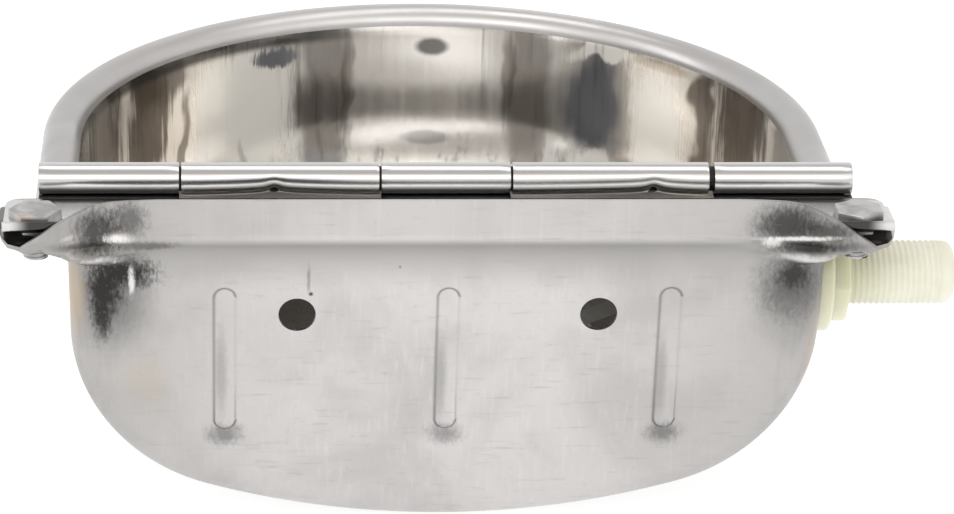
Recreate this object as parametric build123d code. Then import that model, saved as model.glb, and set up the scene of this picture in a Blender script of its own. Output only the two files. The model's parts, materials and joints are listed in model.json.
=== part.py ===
"""Automatic drinking bowl for livestock.

A deep-drawn stainless bowl hangs on a wall by two bolts.  A strip across its back carries a
hinged flap, and under the flap a float valve, screwed through the right side wall, keeps the
water level.  The origin is midway between the two wall holes, on the rear face of the bowl's
back panel.  X runs to the right seen from behind, Y from the wall towards the drinking animal
and Z up.  Millimetres.
"""
import os
from math import atan2, cos, degrees, radians, sin, sqrt, tan

from build123d import *

# Sheet and fits
sheet = 1.2                 # stainless sheet of the bowl, the strip and the flap
clearance = 0.3             # air between neighbours that only pass each other
running_fit = 0.08          # radial play of a pin in its hole
bolt_play = 0.4             # radial play of a bolt in its hole
overrun = 1.0               # how far a cutting bar passes the face that it cuts

# Bowl
half_width = 120.8          # centre to the outside of a side wall
front_centre = 98.0         # holes to the centre of the round front
bowl_floor = -78.2          # lowest point of the outside
corner_radius = 61.0        # side wall to bottom, outside
dome_radius = 262.0         # slightly domed bottom, outside
panel_tilt = 8.0            # lean of the flat back panel
panel_fillet = 8.0          # back panel to side walls and bottom, outside
roll_radius = 6.4           # rounding of the rolled rim, outside
roll_curl = 20.0            # degrees that the rim curls under
rim_crest = 30.0            # top of the rolled rim

# Band along the top of the back
band_top = 41.9
band_height = 14.0
band_setback = 7.4          # rear face of the band behind the holes
step_height = 10.0          # slanted step from the band in to the panel
band_fall = 15.8            # side wall to where the top edge starts to fall to the ears

# Ears that carry the hinge strip
ear_seat = 30.1             # top of the ear, where the strip lies
ear_overhang = 21.7         # side wall to the free end of the ear
ear_crease = 24.3           # lowest edge of the ear, along the wall side
ear_crease_overhang = 15.6
ear_fold = 1.8              # height of the flank's fold at the crease
ear_front = 23.6
ear_shelf_setback = 3.4     # wall-side edge of the flat ear behind the holes
ear_corner = 7.0

# Wall holes and the pressed ribs
hole_radius = 5.95
hole_half_spacing = 48.2
rib_spacing = 71.2
rib_length = 52.0
rib_width = 6.9
rib_centre = -16.3
rib_tilt = 6.0              # lean of a rib's face

# Hinge strip, barrel and pin
strip_overhang = 20.0       # side wall to the end of the strip
strip_front = 22.0
strip_lip_top = 33.7        # the wall-side edge of the strip is turned up to here
strip_corner = 5.0
strip_back_gap = 0.9        # strip lip to the band
barrel_radius = 5.325
barrel_setout = 28.7        # barrel axis ahead of the holes
middle_knuckle = 21.2       # centre to the end of the middle knuckle
flap_knuckle = 64.2         # length of a flap knuckle
barrel_overhang = 9.8       # side wall to the end of the barrel
knuckle_gap = 0.7
pin_recess = 0.8            # pin ends inside the barrel

# Ear bolts and nuts
bolt_overhang = 10.0        # side wall to a bolt
bolt_setout = 4.6
bolt_radius = 4.0
bolt_head_flats = 14.5
bolt_head_height = 3.3
bolt_length = 13.6          # under the head
bolt_chamfer = 0.6
nut_flats = 13.0
nut_height = 5.0

# Flap
flap_slope = 38.0           # degrees below level when closed
flap_length = 112.0
flap_side_gap = 4.1         # edge of the flap to the inside of a side wall
flap_corner = 34.0
flap_lip = 8.0
flap_notch = 7.0            # flap edge clear of the fixed knuckles

# Inlet and valve
inlet_setout = 28.6         # valve axis ahead of the holes
inlet_height = 2.7
thread_radius = 10.4775     # 1/2 inch pipe thread, over the crests
thread_overhang = 46.0      # side wall to the end of the inlet
thread_play = 0.05
thread_chamfer = 1.6
relief_width = 1.5          # thread run-out groove, inside the lock nut
relief_depth = 0.8
wall_hole_play = 0.35
inlet_bore = 5.5
washer_radius = 19.2
washer_thickness = 5.0
lock_nut_flats = 28.0
lock_nut_height = 7.0
gasket_thickness = 2.0
flange_radius = 15.0
flange_thickness = 5.0
valve_radius = 12.0
valve_length = 21.6         # flange face to the end of the barrel
clevis_length = 14.0
clevis_thickness = 4.0
water_slot = 6.0            # width of the slot that lets the jet down into the bowl
plunger_radius = 5.0
plunger_length = 16.0
plunger_travel = 3.0
seal_thickness = 3.0
seal_radius = 4.2
seat_gap = 0.1              # seal to nozzle when shut
nozzle_radius = 6.5
nozzle_length = 7.0
nozzle_tip = 3.0
nozzle_tip_radius = 3.0
jet_radius = 1.5

# Lever and float
lever_throw = 8.0           # pivot to the point that pushes the plunger
lever_width = 8.0
lever_depth = 5.0
lever_nose = 2.2
lever_boss = 3.5
lever_pin_radius = 2.0
lever_pin_head = 3.4
lever_pin_head_height = 1.5
lever_pin_tail = 3.0        # end of the pin that stands out for the split pin
split_pin_radius = 0.6
split_pin_play = 0.1
split_pin_legs = 1.5        # split pin proud of the lever pin
float_length = 64.0
float_width = 38.0
float_height = 38.0
float_wall = 1.8
float_rounding = 12.0
float_offset = 66.0         # pivot to the middle of the float
float_sideways = 6.0        # float ahead of the valve axis
float_top_drop = 4.3        # float top above the pivot when shut
lever_web = 10.5            # pivot to the end of the web under the long arm
stud_pad = 9.6              # radius of the lever's pad on the float
stud_radius = 2.5
stud_bite = 7.5             # stud inside the float
stud_proud = 2.0            # stud above its nut
stud_boss_radius = 6.0
stud_boss_floor = 2.5       # boss below the end of the stud
stud_nut_flats = 8.0
stud_nut_height = 4.0

# Worked out from the sizes above
slope = tan(radians(panel_tilt))
wall_inside = half_width - sheet
band_half_length = half_width - band_fall
ear_reach = half_width + ear_overhang
ear_crease_reach = half_width + ear_crease_overhang
strip_reach = half_width + strip_overhang
bolt_spread = half_width + bolt_overhang
barrel_end = half_width + barrel_overhang
knuckle_ends = (middle_knuckle, middle_knuckle + flap_knuckle, barrel_end)
flap_half_width = wall_inside - flap_side_gap
thread_reach = half_width + thread_overhang
roll_centre = wall_inside + roll_radius
roll_level = rim_crest - roll_radius
step_top = band_top - band_height
step_bottom = step_top - step_height
barrel_level = ear_seat + barrel_radius
bore_radius = barrel_radius - sheet
pin_radius = bore_radius - running_fit
strip_back = -band_setback + sheet + strip_back_gap
strip_top = ear_seat + sheet
flange_face = wall_inside - gasket_thickness - flange_thickness
valve_end = flange_face - valve_length
pivot_height = inlet_height - lever_throw
pivot_at = valve_end - clevis_length + lever_boss + clearance
plunger_back = pivot_at + lever_nose + clearance
seat_at = plunger_back + plunger_length + seal_thickness + plunger_travel + seat_gap
nut_end = half_width + washer_thickness + lock_nut_height
lever_angle = degrees(plunger_travel / lever_throw)
lever_gap = lever_width / 2 + clearance
clevis_reach = lever_gap + clevis_thickness
split_pin_at = inlet_setout + clevis_reach + lever_pin_tail / 2
stud_at = pivot_at - float_offset
float_top = pivot_height + float_top_drop


def dome_centre():
    return bowl_floor + dome_radius


def corner_centre():
    """Radius and height of the centre of the rounding between side wall and bottom."""
    across = half_width - corner_radius
    return across, dome_centre() - sqrt((dome_radius - corner_radius) ** 2 - across ** 2)


def around(centre, radius, angle):
    """A point of the XZ plane, as (x, z), at an angle in degrees from +X."""
    return centre[0] + radius * cos(radians(angle)), centre[1] + radius * sin(radians(angle))


def arc_xz(centre, radius, start, end, y):
    places = [around(centre, radius, a) for a in (start, (start + end) / 2, end)]
    return ThreePointArc(*[(x, y, z) for x, z in places])


def line_xz(a, b, y):
    return Line((a[0], y, a[1]), (b[0], y, b[1]))


def bowl_section(inset, top, y):
    """Half section of the bowl, from its middle to the side wall, drawn at y."""
    corner = corner_centre()
    dome = (0, dome_centre())
    turn = degrees(atan2(corner[1] - dome[1], corner[0]))
    wall = half_width - inset
    low = (0, bowl_floor + inset)
    return make_face([
        line_xz((0, top), (wall, top), y),
        line_xz((wall, top), (wall, corner[1]), y),
        arc_xz(corner, corner_radius - inset, 0, turn, y),
        arc_xz(dome, dome_radius - inset, turn, -90, y),
        line_xz(low, (0, top), y),
    ])


def extrude_yz(points, start, end):
    """Extrude an outline given as (y, z) points along X, from start to end."""
    outline = Polyline(*[(start, y, z) for y, z in points], close=True)
    return extrude(make_face(outline), amount=end - start, dir=(1, 0, 0))


def extrude_xz(points, start, end):
    """Extrude an outline given as (x, z) points along Y, from start to end."""
    outline = Polyline(*[(x, start, z) for x, z in points], close=True)
    return extrude(make_face(outline), amount=end - start, dir=(0, 1, 0))


def box_between(low, high):
    size = [h - l for l, h in zip(low, high)]
    middle = [(h + l) / 2 for l, h in zip(low, high)]
    return Pos(*middle) * Box(*size)


def rod(start, end, radius):
    """A round bar between two points."""
    path = Vector(*end) - Vector(*start)
    return extrude(Plane(origin=start, z_dir=path.normalized()) * Circle(radius), amount=path.length)


def both_sides(piece):
    return piece + mirror(piece, about=Plane.YZ)


def panel_plane(shift, tilt=panel_tilt, origin=(0, 0, 0)):
    """Plane of the back panel, moved forward by shift, with its normal towards the wall."""
    normal = Vector(0, -cos(radians(tilt)), -sin(radians(tilt)))
    return Plane(origin=Vector(*origin) - normal * shift, x_dir=(1, 0, 0), z_dir=normal)


def bowl_blank(inset, top):
    """Solid D-shaped bowl: round front, straight sides, flat leaning back."""
    section = bowl_section(inset, top, front_centre)
    turning = Axis((0, front_centre, 0), (0, 0, 1))
    front = revolve(section, axis=turning, revolution_arc=180)
    if front.center().Y < front_centre:
        front = mirror(front, about=Plane.XZ.offset(-front_centre))
    reach = front_centre + half_width
    sides = extrude(section + mirror(section, about=Plane.YZ), amount=reach, dir=(0, -1, 0))
    back = panel_plane(inset)
    behind = extrude(back * Rectangle(6 * half_width, 6 * half_width), amount=3 * half_width)
    blank = front + sides - behind
    rim_edges = [e for e in blank.edges() if all(
        abs(back.to_local_coords(e @ t).Z) < 0.001 for t in (0, 0.3, 0.7, 1))]
    lower_edges = [e for e in rim_edges if (e @ 0.5).Z < top - 0.001]
    return fillet(lower_edges, panel_fillet - inset)


def rolled_rim():
    """Half-round rim that runs round the front and back along the sides to the ears."""
    centre = (roll_centre, roll_level)
    inner = roll_radius - sheet
    section = make_face([
        arc_xz(centre, roll_radius, 180, -roll_curl, front_centre),
        line_xz(around(centre, roll_radius, -roll_curl), around(centre, inner, -roll_curl),
                front_centre),
        arc_xz(centre, inner, -roll_curl, 180, front_centre),
        line_xz(around(centre, inner, 180), around(centre, roll_radius, 180), front_centre),
    ])
    front = revolve(section, axis=Axis((0, front_centre, 0), (0, 0, 1)), revolution_arc=180)
    if front.center().Y < front_centre:
        front = mirror(front, about=Plane.XZ.offset(-front_centre))
    side = extrude(section, amount=front_centre - ear_front + sheet, dir=(0, -1, 0))
    return front + both_sides(side)


def back_band():
    """Upright band with falling ends, and the slanted step from it down to the panel."""
    rear = -band_setback
    band = extrude_xz([
        (-ear_crease_reach, ear_crease), (-band_half_length, band_top),
        (band_half_length, band_top), (ear_crease_reach, ear_crease),
        (half_width, ear_crease), (half_width, step_top),
        (-half_width, step_top), (-half_width, ear_crease),
    ], rear, rear + sheet)
    panel_rear = -step_bottom * slope
    step = extrude_yz([
        (rear, step_top), (rear, step_top + sheet), (rear + sheet, step_top + sheet),
        (rear + sheet, step_top), (panel_rear + sheet, step_bottom),
        (panel_rear, step_bottom),
    ], -half_width, half_width)
    return band + step


def ears():
    """The two ears: flat shelf, slanted wall-side flank and the side wall below it."""
    rear = -band_setback
    under = ear_seat - sheet
    shelf_back = -ear_shelf_setback
    panel_rear = -step_bottom * slope
    cheek = extrude_yz([
        (rear, ear_seat), (rear, step_top), (panel_rear, step_bottom),
        (ear_front, step_bottom), (ear_front, ear_seat),
    ], wall_inside, half_width)
    shelf = box_between((wall_inside, shelf_back, under), (ear_reach, ear_front, ear_seat))
    outer = shelf.edges().filter_by(Axis.Z).group_by(Axis.X)[-1]
    shelf = fillet(outer, ear_corner)
    flank = extrude_yz([
        (rear, ear_crease), (rear + sheet, ear_crease), (shelf_back + sheet, under),
        (shelf_back + sheet, ear_seat), (shelf_back, ear_seat),
        (rear + sheet, ear_crease + ear_fold), (rear, ear_crease + ear_fold),
    ], wall_inside, ear_crease_reach)
    closing = box_between((half_width - panel_fillet, panel_rear, step_bottom - sheet),
                          (half_width, panel_fillet, step_bottom + sheet))
    return both_sides(cheek + shelf + flank + closing)


def panel_rib(x):
    """Stiffening rib: its flat face leans less than the panel, sunk at the top, proud below."""
    origin = (x, -rib_centre * slope, rib_centre)
    slot = SlotOverall(rib_length, rib_width, rotation=90)
    through = extrude(panel_plane(-3 * sheet, origin=origin) * slot, amount=-7 * sheet)
    face = extrude(panel_plane(0, rib_tilt, origin) * slot, amount=-sheet)
    return through, face


def bowl_shell():
    top = roll_level
    shell = bowl_blank(0, top) - bowl_blank(sheet, top + sheet)
    top_back = box_between((-half_width, -band_setback - sheet, step_bottom),
                           (half_width, panel_fillet, band_top))
    shell = shell - top_back + back_band() + ears() + rolled_rim()
    for x in (-rib_spacing, 0, rib_spacing):
        through, face = panel_rib(x)
        shell = shell - through + face
    for side in (-1, 1):
        x = side * hole_half_spacing
        shell -= rod((x, -3 * sheet, 0), (x, 4 * sheet, 0), hole_radius)
        bolt_at = (side * bolt_spread, bolt_setout)
        shell -= rod((*bolt_at, ear_crease), (*bolt_at, band_top), bolt_radius + bolt_play)
    axis = (inlet_setout, inlet_height)
    shell -= rod((wall_inside - sheet, *axis), (half_width + sheet, *axis),
                 thread_radius + wall_hole_play)
    shell -= rod((wall_inside - gasket_thickness, *axis), (wall_inside, *axis), flange_radius)
    return shell


def knuckle(start, end):
    """One curled length of the hinge barrel, bored for the pin."""
    outside = rod((start, barrel_setout, barrel_level), (end, barrel_setout, barrel_level),
                  barrel_radius)
    return outside - rod((start - overrun, barrel_setout, barrel_level),
                         (end + overrun, barrel_setout, barrel_level), bore_radius)


def fixed_spans():
    inner, outer, end = knuckle_ends
    half_gap = knuckle_gap / 2
    return ((-end, -outer - half_gap), (-inner + half_gap, inner - half_gap),
            (outer + half_gap, end))


def flap_spans():
    inner, outer = knuckle_ends[:2]
    half_gap = knuckle_gap / 2
    return ((-outer + half_gap, -inner - half_gap), (inner + half_gap, outer - half_gap))


def hinge_strip():
    """Strip across the back of the bowl, with its wall-side edge turned up."""
    plate = box_between((-strip_reach, strip_back, ear_seat),
                        (strip_reach, strip_front, strip_top))
    plate = fillet(plate.edges().filter_by(Axis.Z).group_by(Axis.Y)[-1], strip_corner)
    lip = box_between((-strip_reach, strip_back, ear_seat),
                      (strip_reach, strip_back + sheet, strip_lip_top))
    strip = plate + lip
    for start, end in fixed_spans():
        strip += box_between((start, strip_front - 2 * sheet, ear_seat),
                             (end, barrel_setout, strip_top))
        strip += knuckle(start, end)
    for side in (-1, 1):
        at = (side * bolt_spread, bolt_setout)
        strip -= rod((*at, ear_seat - overrun), (*at, strip_lip_top), bolt_radius + bolt_play)
    return strip


def hinge_pin():
    end = knuckle_ends[2] - pin_recess
    return rod((-end, barrel_setout, barrel_level), (end, barrel_setout, barrel_level), pin_radius)


def cover_flap():
    """Flap drawn level, then tipped about the pin to its closed slope."""
    top = barrel_radius
    edge = flap_length
    plate = box_between((-flap_half_width, flap_notch, top - sheet),
                        (flap_half_width, edge, top))
    plate = fillet(plate.edges().filter_by(Axis.Z).group_by(Axis.Y)[-1], flap_corner)
    straight = flap_half_width - flap_corner
    lip = box_between((-straight, edge - sheet, top - flap_lip), (straight, edge, top))
    flap = plate + lip
    for start, end in flap_spans():
        flap += box_between((start, 0, top - sheet), (end, flap_notch + sheet, top))
    flap = Pos(0, barrel_setout, barrel_level) * Rot(-flap_slope, 0, 0) * flap
    for start, end in flap_spans():
        flap += knuckle(start, end)
    return flap


def hexagon(flats, turn):
    return RegularPolygon(flats / 2, 6, major_radius=False, rotation=turn)


def ear_bolt(side, turn):
    at = (side * bolt_spread, bolt_setout)
    head = extrude(Pos(*at, strip_top) * hexagon(bolt_head_flats, turn), amount=bolt_head_height)
    shank = rod((*at, strip_top - bolt_length), (*at, strip_top + overrun), bolt_radius)
    tip = shank.edges().group_by(Axis.Z)[0]
    return head + chamfer(tip, bolt_chamfer)


def ear_nut(side, turn):
    at = (side * bolt_spread, bolt_setout)
    under = ear_seat - sheet
    nut = extrude(Pos(*at, under) * hexagon(nut_flats, turn), amount=-nut_height)
    return nut - rod((*at, under - nut_height - overrun), (*at, under + overrun), bolt_radius)


def along_inlet(start, end, radius):
    """Round bar on the inlet's axis."""
    return rod((start, inlet_setout, inlet_height), (end, inlet_setout, inlet_height), radius)


def valve_body():
    """Threaded inlet, flange, barrel with a water slot, and the clevis for the lever."""
    thread = along_inlet(wall_inside - gasket_thickness - overrun, thread_reach, thread_radius)
    thread = chamfer(thread.edges().group_by(Axis.X)[-1], thread_chamfer)
    relief = ring(nut_end - relief_width, nut_end, lock_nut_flats / 2,
                  thread_radius - relief_depth)
    flange = along_inlet(flange_face, wall_inside - gasket_thickness, flange_radius)
    barrel = along_inlet(valve_end, flange_face + overrun, valve_radius)
    body = thread - relief + flange + barrel
    cheek_far = valve_end - clevis_length
    for side in (-1, 1):
        inner = inlet_setout + side * lever_gap
        outer = inlet_setout + side * clevis_reach
        body += box_between((cheek_far, min(inner, outer), pivot_height - lever_boss),
                            (valve_end + overrun, max(inner, outer), inlet_height + plunger_radius))
    chamber_end = seat_at + nozzle_length
    chamber_start = seat_at - plunger_travel - seal_thickness
    body -= along_inlet(cheek_far, seat_at + nozzle_tip, plunger_radius + running_fit)
    body -= along_inlet(chamber_start, chamber_end, nozzle_radius)
    body -= along_inlet(chamber_end - overrun, thread_reach + overrun, inlet_bore)
    slot_low = (seat_at - plunger_travel, inlet_setout - water_slot / 2,
                inlet_height - valve_radius - overrun)
    body -= box_between(slot_low, (seat_at, inlet_setout + water_slot / 2, inlet_height))
    across = clevis_reach + overrun
    body -= rod((pivot_at, inlet_setout - across, pivot_height),
                (pivot_at, inlet_setout + across, pivot_height), lever_pin_radius + running_fit)
    return body


def ring(start, end, outer, inner):
    return along_inlet(start, end, outer) - along_inlet(start - overrun, end + overrun, inner)


def outer_washer():
    return ring(half_width, half_width + washer_thickness, washer_radius,
                thread_radius + wall_hole_play)


def lock_nut():
    start = half_width + washer_thickness
    face = Plane(origin=(start, inlet_setout, inlet_height), x_dir=(0, 1, 0), z_dir=(1, 0, 0))
    nut = extrude(face * hexagon(lock_nut_flats, 0), amount=lock_nut_height)
    return nut - along_inlet(start - overrun, nut_end + overrun, thread_radius + thread_play)


def wall_gasket():
    return ring(wall_inside - gasket_thickness, wall_inside, flange_radius,
                thread_radius + thread_play)


def seat_nozzle():
    """Insert that the water jets out of, with its raised seat towards the plunger."""
    base = along_inlet(seat_at + nozzle_tip, seat_at + nozzle_length, nozzle_radius)
    tip = along_inlet(seat_at, seat_at + nozzle_tip, nozzle_tip_radius)
    jet = along_inlet(seat_at - overrun, seat_at + nozzle_length + overrun, jet_radius)
    return base + tip - jet


def plunger():
    return along_inlet(plunger_back, plunger_back + plunger_length, plunger_radius)


def plunger_seal():
    start = plunger_back + plunger_length
    return along_inlet(start, start + seal_thickness, seal_radius)


def at_rest(piece):
    """Swing a piece of the float arm, drawn with the valve shut, down to the empty bowl."""
    about = Axis((pivot_at, 0, pivot_height), (0, 1, 0))
    return piece.rotate(about, -lever_angle)


def lever_pin():
    """Pin through the clevis and the lever, with a head at one end."""
    near = inlet_setout - clevis_reach
    far = inlet_setout + clevis_reach + lever_pin_tail
    pin = rod((pivot_at, near, pivot_height), (pivot_at, far, pivot_height), lever_pin_radius)
    pin += rod((pivot_at, near - lever_pin_head_height, pivot_height),
               (pivot_at, near, pivot_height), lever_pin_head)
    return pin - split_pin_bar(split_pin_radius + split_pin_play, overrun)


def split_pin_bar(radius, extra):
    reach = lever_pin_radius + split_pin_legs + extra
    return rod((pivot_at, split_pin_at, pivot_height - reach),
               (pivot_at, split_pin_at, pivot_height + reach), radius)


def split_pin():
    """Split pin through the tail of the lever pin, with its eye on top."""
    eye_radius = 3 * split_pin_radius
    top = pivot_height + lever_pin_radius + split_pin_legs + eye_radius - split_pin_radius / 2
    eye = Pos(pivot_at, split_pin_at, top) * Rot(90, 0, 0) * Torus(eye_radius, split_pin_radius)
    return split_pin_bar(split_pin_radius, 0) + eye


def float_lever():
    """Lever with the short arm that pushes the plunger and the long arm to the float."""
    half = lever_width / 2
    nose_height = pivot_height + lever_throw
    lower, upper = float_top, float_top + lever_depth
    y0, y1 = inlet_setout - half, inlet_setout + half
    boss = rod((pivot_at, y0, pivot_height), (pivot_at, y1, pivot_height), lever_boss)
    short = box_between((-lever_nose, y0, 0), (lever_nose, y1, lever_throw))
    short += rod((0, y0, lever_throw), (0, y1, lever_throw), lever_nose)
    short = Pos(pivot_at, 0, pivot_height) * Rot(0, lever_angle, 0) * short
    arm = box_between((stud_at - half, y0, lower), (pivot_at - lever_nose, y1, upper))
    web_end = pivot_at - lever_web
    web = extrude_xz([(pivot_at, pivot_height - lever_boss), (pivot_at, nose_height - lever_nose),
                      (web_end, upper), (web_end, lower)], y0, y1)
    pad = Pos(stud_at, inlet_setout, lower) * Cylinder(
        stud_pad, lever_depth, align=(Align.CENTER, Align.CENTER, Align.MIN))
    lever = boss + short + arm + web + pad
    lever -= rod((pivot_at, y0 - overrun, pivot_height), (pivot_at, y1 + overrun, pivot_height),
                 lever_pin_radius + running_fit)
    lever -= rod((stud_at, inlet_setout, lower - overrun), (stud_at, inlet_setout, upper + overrun),
                 stud_radius + running_fit)
    return at_rest(lever)


def float_solid(inset):
    size = [d - 2 * inset for d in (float_length, float_width, float_height)]
    body = Box(*size)
    body = fillet(body.edges(), float_rounding - inset)
    middle = (stud_at, inlet_setout + float_sideways, float_top - float_height / 2)
    return Pos(*middle) * body


def float_shells():
    """Upper and lower halves of the hollow float, welded along the middle."""
    hollow = float_solid(0) - float_solid(float_wall)
    seam = float_top - float_height / 2
    stud_end = float_top - stud_bite
    boss = rod((stud_at, inlet_setout, stud_end - stud_boss_floor),
               (stud_at, inlet_setout, float_top - float_wall / 2), stud_boss_radius)
    wide = 2 * float_length
    above = Pos(stud_at, inlet_setout, seam + wide / 2) * Box(wide, wide, wide)
    upper = (hollow & above) + boss
    upper -= rod((stud_at, inlet_setout, stud_end), (stud_at, inlet_setout, float_top + overrun),
                 stud_radius)
    return at_rest(upper), at_rest(hollow - above)


def float_stud():
    high = float_top + lever_depth + stud_nut_height + stud_proud
    return at_rest(rod((stud_at, inlet_setout, float_top - stud_bite),
                       (stud_at, inlet_setout, high), stud_radius))


def float_nut():
    seat = float_top + lever_depth
    nut = extrude(Pos(stud_at, inlet_setout, seat) * hexagon(stud_nut_flats, 0),
                  amount=stud_nut_height)
    nut -= rod((stud_at, inlet_setout, seat - overrun),
               (stud_at, inlet_setout, seat + stud_nut_height + overrun), stud_radius)
    return at_rest(nut)


def pieces():
    upper, lower = float_shells()
    return {
        "bowl_shell": bowl_shell(),
        "hinge_strip": hinge_strip(),
        "hinge_pin": hinge_pin(),
        "cover_flap": cover_flap(),
        "ear_bolt_left": ear_bolt(-1, 0),
        "ear_bolt_right": ear_bolt(1, 30),
        "ear_nut_left": ear_nut(-1, 0),
        "ear_nut_right": ear_nut(1, 0),
        "valve_body": valve_body(),
        "outer_washer": outer_washer(),
        "lock_nut": lock_nut(),
        "wall_gasket": wall_gasket(),
        "seat_nozzle": seat_nozzle(),
        "plunger": plunger(),
        "plunger_seal": plunger_seal(),
        "lever_pin": lever_pin(),
        "split_pin": split_pin(),
        "float_lever": float_lever(),
        "float_upper_shell": upper,
        "float_lower_shell": lower,
        "float_stud": float_stud(),
        "float_nut": float_nut(),
    }


os.makedirs("parts", exist_ok=True)
for name, piece in pieces().items():
    export_step(piece, f"parts/{name}.step")
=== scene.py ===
"""Looks of the livestock drinking bowl: pressed bowl, hinge, flap, fasteners, inlet and float.

The file is laid out as an add-on.  Each piece has its own operator, and sizes and colours that
a user would change are properties.  Metres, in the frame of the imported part.
"""

import json
from functools import cache
from math import atan2, cos, degrees, hypot, pi, radians, sin, sqrt, tan

import bmesh
import bpy
from bpy.props import FloatProperty, FloatVectorProperty, IntProperty, PointerProperty
from bpy.types import Operator, Panel, PropertyGroup
from mathutils import Matrix, Vector


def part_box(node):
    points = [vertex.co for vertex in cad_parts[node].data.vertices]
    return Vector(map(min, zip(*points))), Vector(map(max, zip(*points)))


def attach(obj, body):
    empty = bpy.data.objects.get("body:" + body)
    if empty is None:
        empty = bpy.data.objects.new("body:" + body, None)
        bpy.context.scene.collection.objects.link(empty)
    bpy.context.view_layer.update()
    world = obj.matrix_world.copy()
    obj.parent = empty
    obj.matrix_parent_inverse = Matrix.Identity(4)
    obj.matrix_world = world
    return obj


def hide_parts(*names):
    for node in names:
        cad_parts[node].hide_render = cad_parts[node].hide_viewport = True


bl_info = {
    "name": "Livestock Drinking Bowl",
    "version": (1, 0, 0),
    "blender": (4, 5, 0),
    "location": "View3D > Sidebar > Drinker",
    "description": "Builds the finish of a wall-hung drinking bowl around its packed frame",
    "category": "Add Mesh",
}

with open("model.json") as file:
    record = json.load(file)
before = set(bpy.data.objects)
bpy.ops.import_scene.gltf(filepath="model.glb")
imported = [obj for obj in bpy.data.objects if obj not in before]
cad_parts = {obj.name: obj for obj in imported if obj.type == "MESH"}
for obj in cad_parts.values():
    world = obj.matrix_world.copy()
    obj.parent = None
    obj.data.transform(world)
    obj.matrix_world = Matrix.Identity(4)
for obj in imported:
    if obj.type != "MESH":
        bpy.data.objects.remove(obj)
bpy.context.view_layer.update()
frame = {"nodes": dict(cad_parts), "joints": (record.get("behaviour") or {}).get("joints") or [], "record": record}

MM = 0.001
SIDES = (-1, 1)
ACROSS = Vector((1, 0, 0))
AHEAD = Vector((0, 1, 0))
UP = Vector((0, 0, 1))


# ---------------------------------------------------------------- places read from the frame

def centre_of(node):
    low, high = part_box(node)
    return (low + high) / 2


def mount(name):
    return next(m for m in frame["record"]["mounts"] if m["name"] == name)


def joint(name):
    return next(j for j in frame["joints"] if j["name"] == name)


SHELL_LOW, SHELL_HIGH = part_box("bowl_shell")
STRIP_LOW, STRIP_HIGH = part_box("hinge_strip")
WALL_HOLES = mount("wall_bolts")["dims"]
HOLE_RADIUS = WALL_HOLES["hole_r_mm"] * MM
HOLE_PLACES = [side * WALL_HOLES["spacing_x_mm"] * MM / 2 for side in SIDES]
INLET = mount("water_inlet")
HALF_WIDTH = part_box("outer_washer")[0].x
WALL_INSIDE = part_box("wall_gasket")[1].x
SHEET = HALF_WIDTH - WALL_INSIDE
HINGE = Vector(joint("flap_hinge")["pos_m"])
PIN_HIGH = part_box("hinge_pin")[1]
INLET_AXIS = Vector((0, INLET["pos_m"][1], INLET["pos_m"][2]))
INLET_RADIUS = INLET["dims"]["r_mm"] * MM
VALVE_LOW, VALVE_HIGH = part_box("valve_body")


# ---------------------------------------------------------------- sizes and colours

def length(name, description, millimetres):
    return FloatProperty(name=name, description=description, default=millimetres * MM,
                         unit="LENGTH", precision=4)


def turn(name, description, angle):
    return FloatProperty(name=name, description=description, default=radians(angle),
                         subtype="ANGLE", unit="ROTATION")


def colour(name, description, rgb):
    return FloatVectorProperty(name=name, description=description, default=rgb, size=3,
                               min=0, max=1, subtype="COLOR")


class BowlSizes(PropertyGroup):
    corner_radius: length("Corner", "Rounding between side wall and bottom", 61)
    dome_radius: length("Dome", "Radius of the domed bottom", 262)
    draft: turn("Draft", "Inward lean of the side walls towards the bottom", 0.8)
    panel_lean: turn("Panel lean", "Lean of the flat back panel", 8)
    panel_fillet: length("Panel fillet", "Rounding round the back panel", 8)
    roll_radius: length("Roll", "Outside rounding of the rolled rim", 6.4)
    rim_crest: length("Rim crest", "Top of the rolled rim", 30)
    flange_root: length("Flange root", "Height where rim, ears and band start", 17.9)
    rib_spacing: length("Rib spacing", "Middle rib to an outer rib", 71.2)
    rib_length: length("Rib length", "Overall length of a rib", 52)
    rib_width: length("Rib width", "Width of a rib", 6.9)
    rib_centre: length("Rib centre", "Height of the middle of the ribs", -16.3)
    rib_lean: turn("Rib lean", "Lean of a rib's face against the panel", 2)
    rib_proud: length("Rib proud", "Middle of a rib's face proud of the panel", 0.25)
    front_steps: IntProperty(name="Front steps", description="Facets round the front",
                             default=96, min=24, max=240)
    edge_rounding: length("Edge rounding", "Rounding of the cut edges of the sheet", 0.3)


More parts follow.
